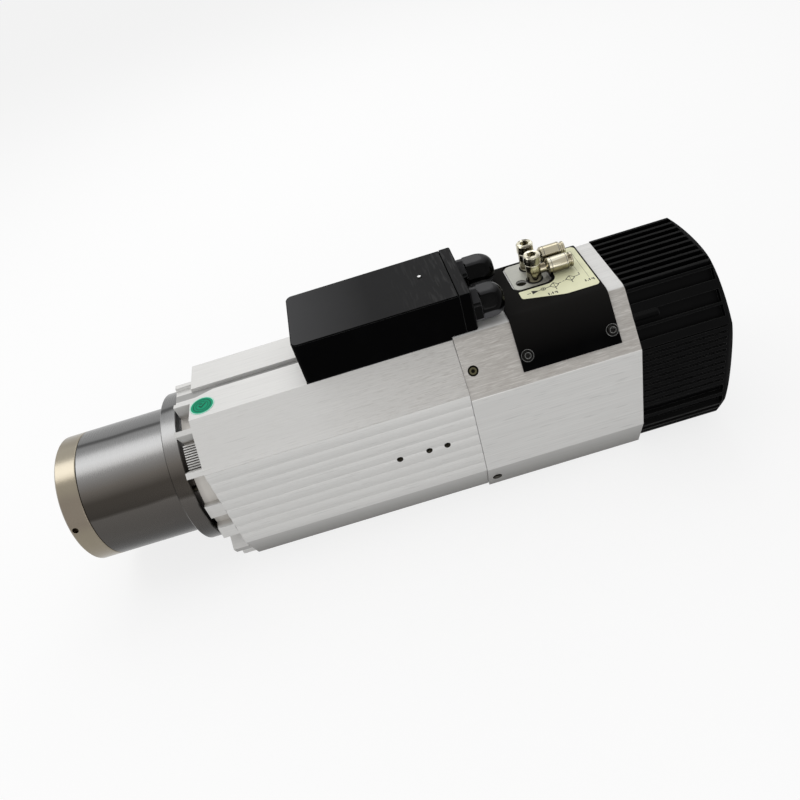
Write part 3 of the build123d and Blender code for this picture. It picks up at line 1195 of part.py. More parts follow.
with BuildPart() as fan_impeller:
    hub_front = FAN_X[0] + 3.6
    with BuildSketch(Plane.XY):
        Polygon(
            (hub_front, 4.1), (hub_front, HUB_R), (FAN_X[1] - 2.5, HUB_R), (FAN_X[1] - 1.0, HUB_R - 1.5),
            (FAN_X[1] - 1.0, 0), (FAN_X[0] + 6.6, 0), (FAN_X[0] + 6.6, 4.1), align=None,
        )
    revolve(axis=Axis.X)
    blade_middle = (hub_front + FAN_X[1] - 1.0) / 2
    for index in range(BLADES):
        turn = index * 360 / BLADES
        for radius, pitch in ((HUB_R - 1.0, 50.0), ((HUB_R + FAN_R) / 2, 39.0), (FAN_R + 2.0, 31.0)):
            with BuildSketch(radial_plane(blade_middle, turn, radius)):
                with Locations(Location((0, 0, 0), (0, 0, 90 - pitch))):
                    Rectangle(blade_chord(pitch), 1.6)
        loft()
    with BuildSketch(Plane.YZ.offset(FAN_X[0])):
        Circle(FAN_R)
    extrude(amount=FAN_X[1] - FAN_X[0], mode=Mode.INTERSECT)
save(fan_impeller.part, "fan_impeller")

with BuildPart() as fan_guard:
    with BuildSketch(Plane.YZ.offset(COVER_END + 0.1)):
        for radius in GUARD_RINGS:
            Circle(radius + GUARD_WIRE / 2)
            Circle(radius - GUARD_WIRE / 2, mode=Mode.SUBTRACT)
        Circle(5.0)
        with PolarLocations(0, 2, start_angle=45, angular_range=180):
            Rectangle(FAN_HOLES * 2 ** 0.5, 1.8)
        with GridLocations(FAN_HOLES, FAN_HOLES, 2, 2):
            Circle(4.0)
            Circle(FAN_HOLE_R, mode=Mode.SUBTRACT)
    extrude(amount=GUARD_WIRE)
save(fan_guard.part, "fan_guard")

with BuildPart() as fan_screws:
    with BuildSketch(Plane.YZ.offset(COVER_END + 1.7)):
        with GridLocations(FAN_HOLES, FAN_HOLES, 2, 2):
            Circle(3.8)
    extrude(amount=2.2, taper=20)
    with BuildSketch(Plane.YZ.offset(REAR_WALL - 8)):
        with GridLocations(FAN_HOLES, FAN_HOLES, 2, 2):
            Circle(2.1)
    extrude(amount=COVER_END + 1.7 - REAR_WALL + 8)
save(fan_screws.part, "fan_screws")
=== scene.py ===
import math

import bmesh
import bpy
from mathutils import Matrix, Vector


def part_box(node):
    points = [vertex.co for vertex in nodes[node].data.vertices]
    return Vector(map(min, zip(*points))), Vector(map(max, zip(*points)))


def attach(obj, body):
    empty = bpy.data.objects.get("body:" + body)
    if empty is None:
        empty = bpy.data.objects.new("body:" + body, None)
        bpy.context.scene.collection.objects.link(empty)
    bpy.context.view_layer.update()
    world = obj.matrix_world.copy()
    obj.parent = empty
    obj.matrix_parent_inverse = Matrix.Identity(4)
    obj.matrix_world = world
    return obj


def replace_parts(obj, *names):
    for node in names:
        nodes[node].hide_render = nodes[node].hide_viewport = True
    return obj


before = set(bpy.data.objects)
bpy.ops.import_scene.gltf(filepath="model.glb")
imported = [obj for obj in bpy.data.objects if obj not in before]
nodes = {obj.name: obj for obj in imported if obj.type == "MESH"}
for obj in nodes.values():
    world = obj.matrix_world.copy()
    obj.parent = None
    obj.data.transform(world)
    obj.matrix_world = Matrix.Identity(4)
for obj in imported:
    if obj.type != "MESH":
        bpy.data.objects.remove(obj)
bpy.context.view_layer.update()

MM = 0.001

# ---------------------------------------------------------------------------
# Camera, light and floor
# ---------------------------------------------------------------------------

# the camera's place and axes, fitted to the corners of the housings and the box in the photograph
CAMERA_AT = Vector((0.29634, -0.47788, 0.41322))
CAMERA_RIGHT = Vector((0.9565, -0.1765, -0.2321))
CAMERA_UP = Vector((0.2910, 0.6277, 0.7220))
CAMERA_LENS = 32.76        # mm
CAMERA_SENSOR = 36.0       # mm
FLOOR_Z = -0.075           # underside of the housings, in metres
FLOOR_GAP = 0.0002         # keeps the floor clear of the base face
FLOOR_SIZE = 12.0
FLOOR_CENTRE_X = 0.25
WORLD_LEVEL = 0.5
WHITE = (1.0, 1.0, 1.0, 1.0)
FLOOR_SEEN = 1.0           # tone of the floor in the picture and in reflections
FLOOR_BOUNCE = 0.5         # tone of the floor for the light that it throws back
FLOOR_GLOW = 0.78          # share of plain white in the picture of the floor


def add_camera():
    data = bpy.data.cameras.new("camera")
    data.lens = CAMERA_LENS
    data.sensor_width = CAMERA_SENSOR
    data.clip_start = 0.01
    camera = bpy.data.objects.new("camera", data)
    right = CAMERA_RIGHT.normalized()
    back = right.cross(CAMERA_UP).normalized()
    up = back.cross(right)
    camera.matrix_world = Matrix.Translation(CAMERA_AT) @ Matrix((right, up, back)).transposed().to_4x4()
    bpy.context.scene.collection.objects.link(camera)
    bpy.context.scene.camera = camera


def add_area_light(name, place, target, size, power):
    data = bpy.data.lights.new(name, "AREA")
    data.shape = "DISK"
    data.size = size
    data.energy = power
    light = bpy.data.objects.new(name, data)
    light.location = place
    light.rotation_euler = (Vector(target) - Vector(place)).to_track_quat("-Z", "Y").to_euler()
    bpy.context.scene.collection.objects.link(light)


def seen_directly(tree):
    """1 for camera, glossy and transmission rays, 0 for the light that falls on the object."""
    path = tree.nodes.new("ShaderNodeLightPath")
    glossy = tree.nodes.new("ShaderNodeMath")
    glossy.operation = "MAXIMUM"
    tree.links.new(path.outputs["Is Camera Ray"], glossy.inputs[0])
    tree.links.new(path.outputs["Is Glossy Ray"], glossy.inputs[1])
    total = tree.nodes.new("ShaderNodeMath")
    total.operation = "MAXIMUM"
    tree.links.new(glossy.outputs[0], total.inputs[0])
    tree.links.new(path.outputs["Is Transmission Ray"], total.inputs[1])
    return total.outputs[0]


def add_world():
    world = bpy.data.worlds.new("studio")
    bpy.context.scene.world = world
    world.use_nodes = True
    tree = world.node_tree
    tree.nodes.clear()
    lit = tree.nodes.new("ShaderNodeBackground")
    lit.inputs["Color"].default_value = WHITE
    lit.inputs["Strength"].default_value = WORLD_LEVEL
    shown = tree.nodes.new("ShaderNodeBackground")
    shown.inputs["Color"].default_value = WHITE
    mix = tree.nodes.new("ShaderNodeMixShader")
    out = tree.nodes.new("ShaderNodeOutputWorld")
    tree.links.new(seen_directly(tree), mix.inputs[0])
    tree.links.new(lit.outputs[0], mix.inputs[1])
    tree.links.new(shown.outputs[0], mix.inputs[2])
    tree.links.new(mix.outputs[0], out.inputs[0])


def add_floor():
    """White floor that keeps a soft shadow and otherwise melts into the background."""
    bpy.ops.mesh.primitive_plane_add(size=FLOOR_SIZE, location=(FLOOR_CENTRE_X, 0.0, FLOOR_Z - FLOOR_GAP))
    floor = bpy.context.object
    floor.name = "floor"
    material = bpy.data.materials.new("floor_white")
    material.use_nodes = True
    tree = material.node_tree
    tree.nodes.clear()
    seen = seen_directly(tree)
    tone = tree.nodes.new("ShaderNodeMapRange")
    tone.inputs["To Min"].default_value = FLOOR_BOUNCE
    tone.inputs["To Max"].default_value = FLOOR_SEEN
    diffuse = tree.nodes.new("ShaderNodeBsdfDiffuse")
    glow = tree.nodes.new("ShaderNodeEmission")
    glow.inputs["Color"].default_value = WHITE
    mix = tree.nodes.new("ShaderNodeMixShader")
    share = tree.nodes.new("ShaderNodeMath")
    share.operation = "MULTIPLY"
    share.inputs[1].default_value = FLOOR_GLOW
    out = tree.nodes.new("ShaderNodeOutputMaterial")
    tree.links.new(seen, tone.inputs["Value"])
    tree.links.new(tone.outputs["Result"], diffuse.inputs["Color"])
    tree.links.new(seen, share.inputs[0])
    tree.links.new(share.outputs[0], mix.inputs[0])
    tree.links.new(diffuse.outputs[0], mix.inputs[1])
    tree.links.new(glow.outputs[0], mix.inputs[2])
    tree.links.new(mix.outputs[0], out.inputs[0])
    floor.data.materials.append(material)


add_camera()
add_world()
add_floor()
# name, place, target, diameter in metres, power in watts
for light_settings in (
    ("key", (-0.38, 0.16, 1.15), (0.2, 0.0, 0.0), 0.75, 3.2),
    ("front", (0.3, -1.5, 0.25), (0.27, 0.0, 0.0), 1.0, 7.0),
    ("back", (0.3, 1.0, 1.2), (0.27, 0.0, 0.0), 1.2, 7.0),
):
    add_area_light(*light_settings)

# ---------------------------------------------------------------------------
# Places that materials and pieces share, in millimetres
# ---------------------------------------------------------------------------

SKIN_Y = 66.3                        # half the width of the housings
BASE_Z = -75.0
REAR_TOP_Z = 77.3                    # top face of the rear housing
HOUSING_SCREW_X = 346.0
HOUSING_SCREW_DIRECTIONS = (44.2, 136.0)   # degrees from the top
COUNTERBORE_R = 4.1
SIDE_HOLES_X = (272.0, 296.5, 311.6)
SIDE_HOLES_Z = -1.0
SIDE_HOLE_R = 2.5
HOLE_RIM = 0.1                       # the dark of a hole reaches this far past its edge
HOLE_BLUR = 0.05

# ---------------------------------------------------------------------------
# Materials
# ---------------------------------------------------------------------------


class Shader:
    """A material built around one Principled shader, with short calls for its texture nodes."""

    def __init__(self, name, color, metallic=0.0, roughness=0.5, specular=0.5):
        self.material = bpy.data.materials.new(name)
        self.material.use_nodes = True
        self.tree = self.material.node_tree
        self.bsdf = self.tree.nodes["Principled BSDF"]
        self.bsdf.inputs["Base Color"].default_value = (*color, 1.0)
        self.bsdf.inputs["Metallic"].default_value = metallic
        self.bsdf.inputs["Roughness"].default_value = roughness
        self.bsdf.inputs["Specular IOR Level"].default_value = specular
        self.color = color
        self.roughness = roughness
        coordinates = self.tree.nodes.new("ShaderNodeTexCoord")
        self.place = coordinates.outputs["Object"]
        self.edge_normal = None

    def node(self, kind):
        return self.tree.nodes.new(kind)

    def link(self, source, target):
        self.tree.links.new(source, target)

    def math(self, operation, first, second):
        """A Math node; each input is a socket or a number."""
        node = self.node("ShaderNodeMath")
        node.operation = operation
        for socket, value in zip(node.inputs, (first, second)):
            if isinstance(value, (int, float)):
                socket.default_value = value
            else:
                self.link(value, socket)
        return node.outputs[0]

    def noise(self, stretch, scale=1.0, detail=3.0, roughness=0.5, shift=(0.0, 0.0, 0.0)):
        """Noise over the object's place in metres, with its own scale along each axis."""
        mapping = self.node("ShaderNodeMapping")
        mapping.inputs["Scale"].default_value = stretch
        mapping.inputs["Location"].default_value = shift
        self.link(self.place, mapping.inputs["Vector"])
        noise = self.node("ShaderNodeTexNoise")
        noise.inputs["Scale"].default_value = scale
        noise.inputs["Detail"].default_value = detail
        noise.inputs["Roughness"].default_value = roughness
        self.link(mapping.outputs[0], noise.inputs["Vector"])
        return noise.outputs["Fac"]

    def spread(self, value, low, high, start=0.3, end=0.7, smooth=False):
        """Maps a texture value between start and end to low and high."""
        ramp = self.node("ShaderNodeMapRange")
        if smooth:
            ramp.interpolation_type = "SMOOTHSTEP"
        ramp.inputs["From Min"].default_value = start
        ramp.inputs["From Max"].default_value = end
        ramp.inputs["To Min"].default_value = low
        ramp.inputs["To Max"].default_value = high
        self.link(value, ramp.inputs["Value"])
        return ramp.outputs["Result"]

    def axis(self, name):
        """Place along one axis, in metres."""
        split = self.node("ShaderNodeSeparateXYZ")
        self.link(self.place, split.inputs[0])
        return split.outputs[name]

    def radius(self):
        """Distance from the spindle axis, in metres."""
        return self.distance(self.axis("Y"), self.axis("Z"))

    def distance(self, across, along):
        """Length of the diagonal over two values at right angles."""
        squares = [self.math("POWER", side, 2.0) for side in (across, along)]
        return self.math("SQRT", self.math("ADD", *squares), 0.0)

    def angle(self):
        """Direction round the spindle axis: 0.5 at the top, rising towards -Y, 0 and 1 at the bottom."""
        turned = self.math("ARCTAN2", self.math("MULTIPLY", self.axis("Y"), -1.0), self.axis("Z"))
        return self.spread(turned, 0.0, 1.0, -math.pi, math.pi)

    def facing(self, name):
        """Component of the surface direction in the object's own frame."""
        coordinates = self.node("ShaderNodeTexCoord")
        split = self.node("ShaderNodeSeparateXYZ")
        self.link(coordinates.outputs["Normal"], split.inputs[0])
        return split.outputs[name]

    def band(self, value, low, high, blur):
        """1 between two limits of any value, running out to 0 over the blur."""
        rise = self.spread(value, 0.0, 1.0, low - blur, low, smooth=True)
        fall = self.spread(value, 1.0, 0.0, high, high + blur, smooth=True)
        return self.math("MULTIPLY", rise, fall)

    def sheens(self, value, stops):
        """Takes the base colour from a ramp of (place, tone) over a value, each tone with its warmth."""
        ramp = self.node("ShaderNodeValToRGB")
        while len(ramp.color_ramp.elements) < len(stops):
            ramp.color_ramp.elements.new(0.5)
        for element, (place, tone, warmth) in zip(ramp.color_ramp.elements, stops):
            element.position = place
            element.color = (tone * (1 + warmth), tone, tone * (1 - warmth), 1.0)
        self.link(value, ramp.inputs["Fac"])
        self.link(ramp.outputs["Color"], self.bsdf.inputs["Base Color"])

    def inside(self, value, low, high, blur):
        """1 between two limits in millimetres, running out to 0 over the blur."""
        return self.band(value, low * MM, high * MM, blur * MM)

    def tint(self, value, other, start=0.3, end=0.7, most=1.0):
        """Mixes the base colour towards another colour by a texture value."""
        mix = self.node("ShaderNodeMix")
        mix.data_type = "RGBA"
        colors = [socket for socket in mix.inputs if socket.type == "RGBA"]
        present = self.bsdf.inputs["Base Color"]
        if present.is_linked:
            self.link(present.links[0].from_socket, colors[0])
        else:
            colors[0].default_value = (*self.color, 1.0)
        colors[1].default_value = (*other, 1.0)
        self.link(self.spread(value, 0.0, most, start, end), mix.inputs["Factor"])
        result = [socket for socket in mix.outputs if socket.type == "RGBA"][0]
        self.link(result, present)

    def shade(self, value, share, start=0.3, end=0.7):
        """Mixes the base colour towards a darker or lighter tone of itself."""
        self.tint(value, tuple(channel * share for channel in self.color), start, end)

    def rough(self, value, amount, start=0.3, end=0.7):
        """Varies the roughness by a texture value."""
        low = max(0.02, self.roughness - amount)
        high = self.roughness + amount
        self.link(self.spread(value, low, high, start, end), self.bsdf.inputs["Roughness"])

    def bump(self, value, distance, strength=1.0):
        """Adds a bump of the given depth in metres on top of those already there."""
        bump = self.node("ShaderNodeBump")
        bump.inputs["Distance"].default_value = distance
        bump.inputs["Strength"].default_value = strength
        self.link(value, bump.inputs["Height"])
        normal = self.bsdf.inputs["Normal"]
        if normal.is_linked:
            self.link(normal.links[0].from_socket, bump.inputs["Normal"])
        self.link(bump.outputs[0], normal)

    def soft_edges(self, radius):
        """Rounds edges in the shading, as a broken or coated edge looks."""
        bevel = self.node("ShaderNodeBevel")
        bevel.samples = 4
        bevel.inputs["Radius"].default_value = radius
        self.link(bevel.outputs[0], self.bsdf.inputs["Normal"])
        self.edge_normal = bevel.outputs[0]

    def edge_wear_and_highlight(self, other, start=0.004, end=0.08, most=1.0):
        """Shows another colour along the edges: wear on some materials, painted highlight on others."""
        geometry = self.node("ShaderNodeNewGeometry")
        dot = self.node("ShaderNodeVectorMath")
        dot.operation = "DOT_PRODUCT"
        self.link(self.edge_normal, dot.inputs[0])
        self.link(geometry.outputs["Normal"], dot.inputs[1])
        self.tint(self.math("SUBTRACT", 1.0, dot.outputs["Value"]), other, start, end, most)


def extruded_aluminium(name, color, grain=1.0, metallic=0.25, roughness=0.5):
    """Aluminium with fine lines along the extrusion, faint stains and small scratches."""
    shader = Shader(name, color, metallic=metallic, roughness=roughness)
    shader.soft_edges(0.35 * MM)
    lines = shader.noise((14.0, 1500.0, 1500.0), detail=2.0)
    shader.shade(lines, 1 - 0.12 * grain, 0.35, 0.75)
    shader.shade(shader.noise((5.0, 60.0, 60.0), detail=4.0), 1 - 0.07 * grain, 0.5, 0.7)
    scratches = shader.noise((45.0, 900.0, 900.0), detail=1.0, shift=(3.0, 5.0, 7.0))
    shader.shade(scratches, 1 - 0.22 * grain, 0.66, 0.74)
    shader.rough(lines, 0.07 * grain)
    shader.bump(lines, 0.02 * MM, 0.35 * grain)
    return shader


def turned_metal(name, color, roughness, waves=1.0, metallic=1.0, lines=0.82):
    """Lathe-turned metal: fine rings round the spindle axis with a slow change of tone."""
    shader = Shader(name, color, metallic=metallic, roughness=roughness)
    shader.soft_edges(0.3 * MM)
    rings = shader.noise((2600.0, 3.0, 3.0), detail=2.0)
    shader.shade(rings, lines, 0.35, 0.75)
    shader.shade(shader.noise((30.0, 22.0, 22.0), detail=3.0), 0.85, 0.45, 0.8)
    shader.rough(rings, 0.06 * waves)
    shader.bump(rings, 0.012 * MM, 0.35 * waves)
    return shader


def plain_metal(name, color, roughness, wear=0.85, metallic=1.0):
    """Ground or plated metal with faint blotches."""
    shader = Shader(name, color, metallic=metallic, roughness=roughness)
    shader.soft_edges(0.15 * MM)
    blotches = shader.noise((160.0, 160.0, 160.0), detail=4.0)
    shader.shade(blotches, wear, 0.45, 0.75)
    shader.rough(blotches, 0.05)
    return shader


def coated_black(name, color, roughness, grain=0.03, edge=(0.05, 0.05, 0.05), bevel=0.35, specular=0.1):
    """Black powder coat or paint with a fine grain and edges a little lighter, partly wear and partly painted
    highlight.
    """
    shader = Shader(name, color, roughness=roughness, specular=specular)
    shader.soft_edges(bevel * MM)
    shader.edge_wear_and_highlight(edge)
    speckle = shader.noise((1400.0, 1400.0, 1400.0), detail=2.0)
    shader.shade(shader.noise((30.0, 30.0, 30.0), detail=5.0), 2.0, 0.5, 0.8)
    shader.rough(shader.noise((40.0, 40.0, 40.0), detail=4.0), 0.07)
    shader.bump(speckle, grain * MM, 0.5)
    return shader


def moulded(name, color, roughness, grain=0.012, specular=0.2):
    """Injection-moulded plastic or rubber."""
    shader = Shader(name, color, roughness=roughness, specular=specular)
    shader.soft_edges(0.25 * MM)
    shader.rough(shader.noise((120.0, 120.0, 120.0), detail=4.0), 0.06)
    shader.shade(shader.noise((60.0, 60.0, 60.0)), 0.8, 0.4, 0.8)
    shader.bump(shader.noise((1800.0, 1800.0, 1800.0), detail=2.0), grain * MM, 0.4)
    return shader


def printed_film(name, color, roughness=0.45, specular=0.3):
    """Self-adhesive film with a faint unevenness."""
    shader = Shader(name, color, roughness=roughness, specular=specular)
    shader.shade(shader.noise((90.0, 90.0, 90.0), detail=4.0), 0.93, 0.45, 0.8)
    shader.bump(shader.noise((500.0, 500.0, 500.0)), 0.01 * MM, 0.3)
    return shader


ALUMINIUM = (0.66, 0.655, 0.64)
NOSE_STEEL = (0.135, 0.124, 0.112)
RING_NICKEL = (0.26, 0.228, 0.175)
STEEL = (0.40, 0.39, 0.37)
NICKEL = (0.40, 0.365, 0.27)
COAT = (0.0013, 0.0013, 0.0014)
# the next six tones are painted shade, on the shoulders, the lower slopes, the core between the ribs and in
# the open holes
SHOULDER_SHADE = (0.38, 0.36, 0.335)
SLOPE_SHADE = (0.32, 0.315, 0.305)
CORE_GAP_SHADE = (0.075, 0.062, 0.048)
CORE_SHADE = (0.46, 0.435, 0.40)
SLOPE_LOW_SHADE = (0.15, 0.145, 0.135)
HOLE_SHADE = (0.030, 0.027, 0.020)
BRUSH_DARK = (0.26, 0.235, 0.21)
BRUSH_LIGHT = (0.66, 0.64, 0.61)
RING_GLINT = (0.34, 0.31, 0.25)
RING_SHADE = (0.19, 0.16, 0.13)
# painted highlight: a golden ring round the socket of each sunk housing screw
SCREW_GLINT = (0.085, 0.078, 0.045)
SOCKET_GLINT_RING = (0.0017, 0.0026, 0.0005)      # inner and outer radius and blur in metres
# painted highlight along the edges of the nickel plate
PLATED_EDGE_HIGHLIGHT = (0.72, 0.68, 0.55)
# the next two tones are painted sheen on the lid; the one after is rub marks
LID_SHEEN = (0.023, 0.023, 0.0235)
LID_FRONT_SHEEN = (0.075, 0.075, 0.077)
LID_RUBS = (0.055, 0.055, 0.055)
# painted highlight towards the top of the saddle cover
SADDLE_UPPER_SHEEN = (0.0105, 0.010, 0.0095)
# painted highlight on the fan cover: its edges, partly wear, its top and its rear chamfer
COVER_EDGE_WEAR_AND_HIGHLIGHT = (0.065, 0.065, 0.065)
COVER_TOP_HIGHLIGHT = (0.0075, 0.0075, 0.0075)
COVER_CHAMFER_HIGHLIGHT = (0.016, 0.016, 0.016)
# painted highlight, painted reflection and painted glints on the glands
GLAND_TOP_HIGHLIGHT = (0.04, 0.04, 0.042)
GLAND_UNDER_REFLECTION = (0.09, 0.09, 0.095)
GLAND_EDGE_GLINT = (0.20, 0.20, 0.205)

housing_metal = extruded_aluminium("aluminium_extruded", ALUMINIUM, 0.65)
# painted shade: the slot and the core between the ribs are darker, and the core darker still next to the
# flange
slot_painted_shade = housing_metal.math(
    "MULTIPLY",
    housing_metal.inside(housing_metal.axis("Z"), 60.0, 74.2, 0.4),
    housing_metal.inside(housing_metal.axis("Y"), -4.1, 3.7, 0.2),
)
housing_metal.shade(slot_painted_shade, 0.48, 0.0, 1.0)
core_painted_shade = housing_metal.math(
    "MULTIPLY",
    housing_metal.inside(housing_metal.axis("X"), 100.0, 125.5, 0.5),
    housing_metal.inside(housing_metal.radius(), 40.0, 64.0, 3.5),
)
housing_metal.tint(core_painted_shade, CORE_SHADE, 0.0, 1.0, 0.8)
# painted shadow in the gap next to the flange
near_flange = housing_metal.spread(housing_metal.axis("X"), 1.0, 0.0, 0.105, 0.117)
housing_metal.tint(housing_metal.math("MULTIPLY", core_painted_shade, near_flange), CORE_GAP_SHADE, 0.0, 1.0, 0.95)
rear_metal = extruded_aluminium("aluminium_rear", ALUMINIUM, 0.9)
# painted shade: the shoulders darken towards the rear and the lower slopes are darker, most towards the base;
# the brushed strokes on the shoulders are grain
for shader, start, end, most in ((housing_metal, 0.22, 0.36, 0.6), (rear_metal, 0.20, 0.37, 1.0)):
    shoulder = shader.band(shader.facing("Z"), 0.6, 0.85, 0.06)
    rearwards = shader.spread(shader.axis("X"), 0.15, 1.0, start, end)
    shader.tint(shader.math("MULTIPLY", shoulder, rearwards), SHOULDER_SHADE, 0.0, 1.0, most)
    for stretch, tone, share in (
        ((110.0, 1300.0, 1300.0), BRUSH_DARK, 0.5), ((70.0, 900.0, 900.0), BRUSH_LIGHT, 0.45),
    ):
        strokes = shader.noise(stretch, detail=3.0, roughness=0.7, shift=(share, 3.0, 1.0))
        brushed = shader.math("MULTIPLY", shoulder, shader.spread(strokes, 0.0, 1.0, 0.5, 0.66))
        shader.tint(shader.math("MULTIPLY", brushed, rearwards), tone, 0.0, 1.0, share)
    # painted shade on the lower slopes, darker towards the base
    slope = shader.math(
        "MULTIPLY",
        shader.band(shader.facing("Z"), -0.9, -0.3, 0.2),
        shader.inside(shader.axis("Z"), -80.0, -44.5, 1.0),
    )
    shader.tint(slope, SLOPE_SHADE, 0.0, 1.0, 0.6)
    low = shader.spread(shader.axis("Z"), 1.0, 0.0, -0.074, -0.044)
    shader.tint(shader.math("MULTIPLY", slope, low), SLOPE_LOW_SHADE, 0.0, 1.0, 0.8)


def off_screw(shader, direction):
    """Distance from the axis of the radial housing screws at a direction in degrees from the top."""
    turned = math.radians(direction)
    level = shader.math("MULTIPLY", shader.math("ABSOLUTE", shader.axis("Y"), 0.0), math.cos(turned))
    upright = shader.math("MULTIPLY", shader.axis("Z"), -math.sin(turned))
    along = shader.math("SUBTRACT", shader.axis("X"), HOUSING_SCREW_X * MM)
    return shader.distance(shader.math("ADD", level, upright), along)


def shaded_hole(shader, away, radius):
    """Paints shade into a hole, darkening it to just past its edge."""
    reach = radius + HOLE_RIM
    shader.tint(away, HOLE_SHADE, (reach + HOLE_BLUR) * MM, (reach - HOLE_BLUR) * MM, 1.0)


# painted shade in the counterbores of the housing screws and in the side holes
for direction in HOUSING_SCREW_DIRECTIONS:
    shaded_hole(rear_metal, off_screw(rear_metal, direction), COUNTERBORE_R)
for x in SIDE_HOLES_X:
    across = housing_metal.math("SUBTRACT", housing_metal.axis("Z"), SIDE_HOLES_Z * MM)
    along = housing_metal.math("SUBTRACT", housing_metal.axis("X"), x * MM)
    shaded_hole(housing_metal, housing_metal.distance(across, along), SIDE_HOLE_R)
aluminium_turned = turned_metal("aluminium_turned", ALUMINIUM, 0.35, metallic=0.8)
# stretches of light and dark that the nose reflects in the photograph, held in the steel's own colour:
# (degrees from the top, tone, warmth)
NOSE_SHEENS = (
    (-180, 0.10, 0.04), (-150, 0.16, 0.02), (-118, 0.05, 0.10), (-96, 0.13, 0.05), (-70, 0.24, 0.01),
    (-45, 0.15, 0.0), (-8, 0.17, 0.0), (-3, 0.15, 0.0), (-1, 0.055, 0.0), (1, 0.06, 0.0), (3.5, 0.17, 0.0),
    (10, 0.20, 0.0), (22, 0.22, 0.0), (36, 0.185, 0.03),
    (47, 0.105, 0.11), (57, 0.042, 0.14), (71, 0.034, 0.12), (73, 0.08, 0.08), (96, 0.07, 0.07),
    (112, 0.035, 0.05), (122, 0.035, 0.05), (150, 0.11, 0.05), (180, 0.10, 0.04),
)


def sheened_steel(name, roughness, sway):
    """Ground steel with painted reflections: its tone changes in long stretches round the spindle axis."""
    shader = Shader(name, NOSE_STEEL, metallic=1.0, roughness=roughness)
    shader.soft_edges(0.3 * MM)
    drift = shader.spread(shader.noise((14.0, 9.0, 9.0), detail=1.0), -sway, sway)
    shader.sheens(
        shader.math("ADD", shader.angle(), drift),
        [(0.5 + place / 360, tone, warmth) for place, tone, warmth in NOSE_SHEENS],
    )
    rings = shader.noise((2600.0, 3.0, 3.0), detail=2.0)
    shader.tint(rings, tuple(channel * 0.6 for channel in NOSE_STEEL), 0.5, 0.9, 0.05)
    shader.rough(rings, 0.012)
    shader.bump(rings, 0.004 * MM, 0.02)
    return shader


nose_steel = sheened_steel("nose_steel", 0.27, 0.006)
ring_nickel = turned_metal("ring_nickel", RING_NICKEL, 0.24, waves=0.2, lines=0.94)
# painted highlight and painted shade: a lighter band and a darker band round the front ring
ring_nickel.tint(ring_nickel.band(ring_nickel.angle(), 0.50, 0.56, 0.03), RING_GLINT, 0.0, 1.0, 0.6)
ring_nickel.tint(ring_nickel.band(ring_nickel.angle(), 0.64, 0.69, 0.04), RING_SHADE, 0.0, 1.0, 0.7)
ground_steel = turned_metal("ground_steel", STEEL, 0.18)
dark_steel = plain_metal("dark_steel", (0.16, 0.155, 0.15), 0.35)
black_steel = plain_metal("black_steel", (0.020, 0.018, 0.013), 0.35)
# lighter edges on the black screws, partly wear and partly painted highlight
black_steel.edge_wear_and_highlight((0.16, 0.15, 0.12), 0.004, 0.05)
# a darker copy of the black steel, painting the shade on the screws sunk in the counterbores, with a painted
# golden highlight round each socket
shaded_sunk_steel = plain_metal("shaded_sunk_steel", (0.006, 0.0055, 0.004), 0.35)
for direction in HOUSING_SCREW_DIRECTIONS:
    glint_ring = shaded_sunk_steel.band(off_screw(shaded_sunk_steel, direction), *SOCKET_GLINT_RING)
    shaded_sunk_steel.tint(glint_ring, SCREW_GLINT, 0.0, 1.0, 1.0)
screw_steel = plain_metal("screw_steel", (0.010, 0.0095, 0.009), 0.3)
# painted highlight along the edges of the screw heads
screw_steel.edge_wear_and_highlight((0.22, 0.22, 0.215), 0.004, 0.05)
# lighter steel for the rims of the saddle screws, which paints their highlights
rim_highlight_steel = plain_metal("rim_highlight_steel", (0.17, 0.17, 0.165), 0.3)


def bright_nickel(name, base, reflection_stretch, dark, light, roughness=0.17):
    """Polished nickel plate with painted reflections in dark and light streaks along the piece, a darker
    underside of painted shade and reflection, and a painted highlight along its edges.
    """
    shader = plain_metal(name, base, roughness, wear=0.92)
    for shift, tone, start in ((2.0, dark, 0.5), (9.0, light, 0.56)):
        painted_reflection = shader.noise(reflection_stretch, detail=1.0, shift=(shift, shift, shift))
        shader.tint(painted_reflection, tone, start, start + 0.07, 0.85)
    shader.tint(shader.band(shader.facing("Z"), -2.0, -0.45, 0.5), dark, 0.0, 1.0, 0.75)
    shader.edge_wear_and_highlight(PLATED_EDGE_HIGHLIGHT, 0.01, 0.1, 0.8)
    return shader


# painted reflections on the nickel: dark and light streaks and the darker underside
NICKEL_DARK_REFLECTION = (0.085, 0.068, 0.042)
NICKEL_LIGHT_REFLECTION = (0.78, 0.75, 0.62)
nickel = bright_nickel("nickel_plate", NICKEL, (10.0, 190.0, 190.0), NICKEL_DARK_REFLECTION, NICKEL_LIGHT_REFLECTION)
bolt_nickel = bright_nickel(
    "bolt_nickel", (0.38, 0.36, 0.28), (150.0, 150.0, 10.0), (0.07, 0.06, 0.045), NICKEL_LIGHT_REFLECTION
)
guard_chrome = plain_metal("guard_chrome", (0.42, 0.42, 0.42), 0.2)
coat_box = coated_black("coat_box", COAT, 0.42, specular=0.008)
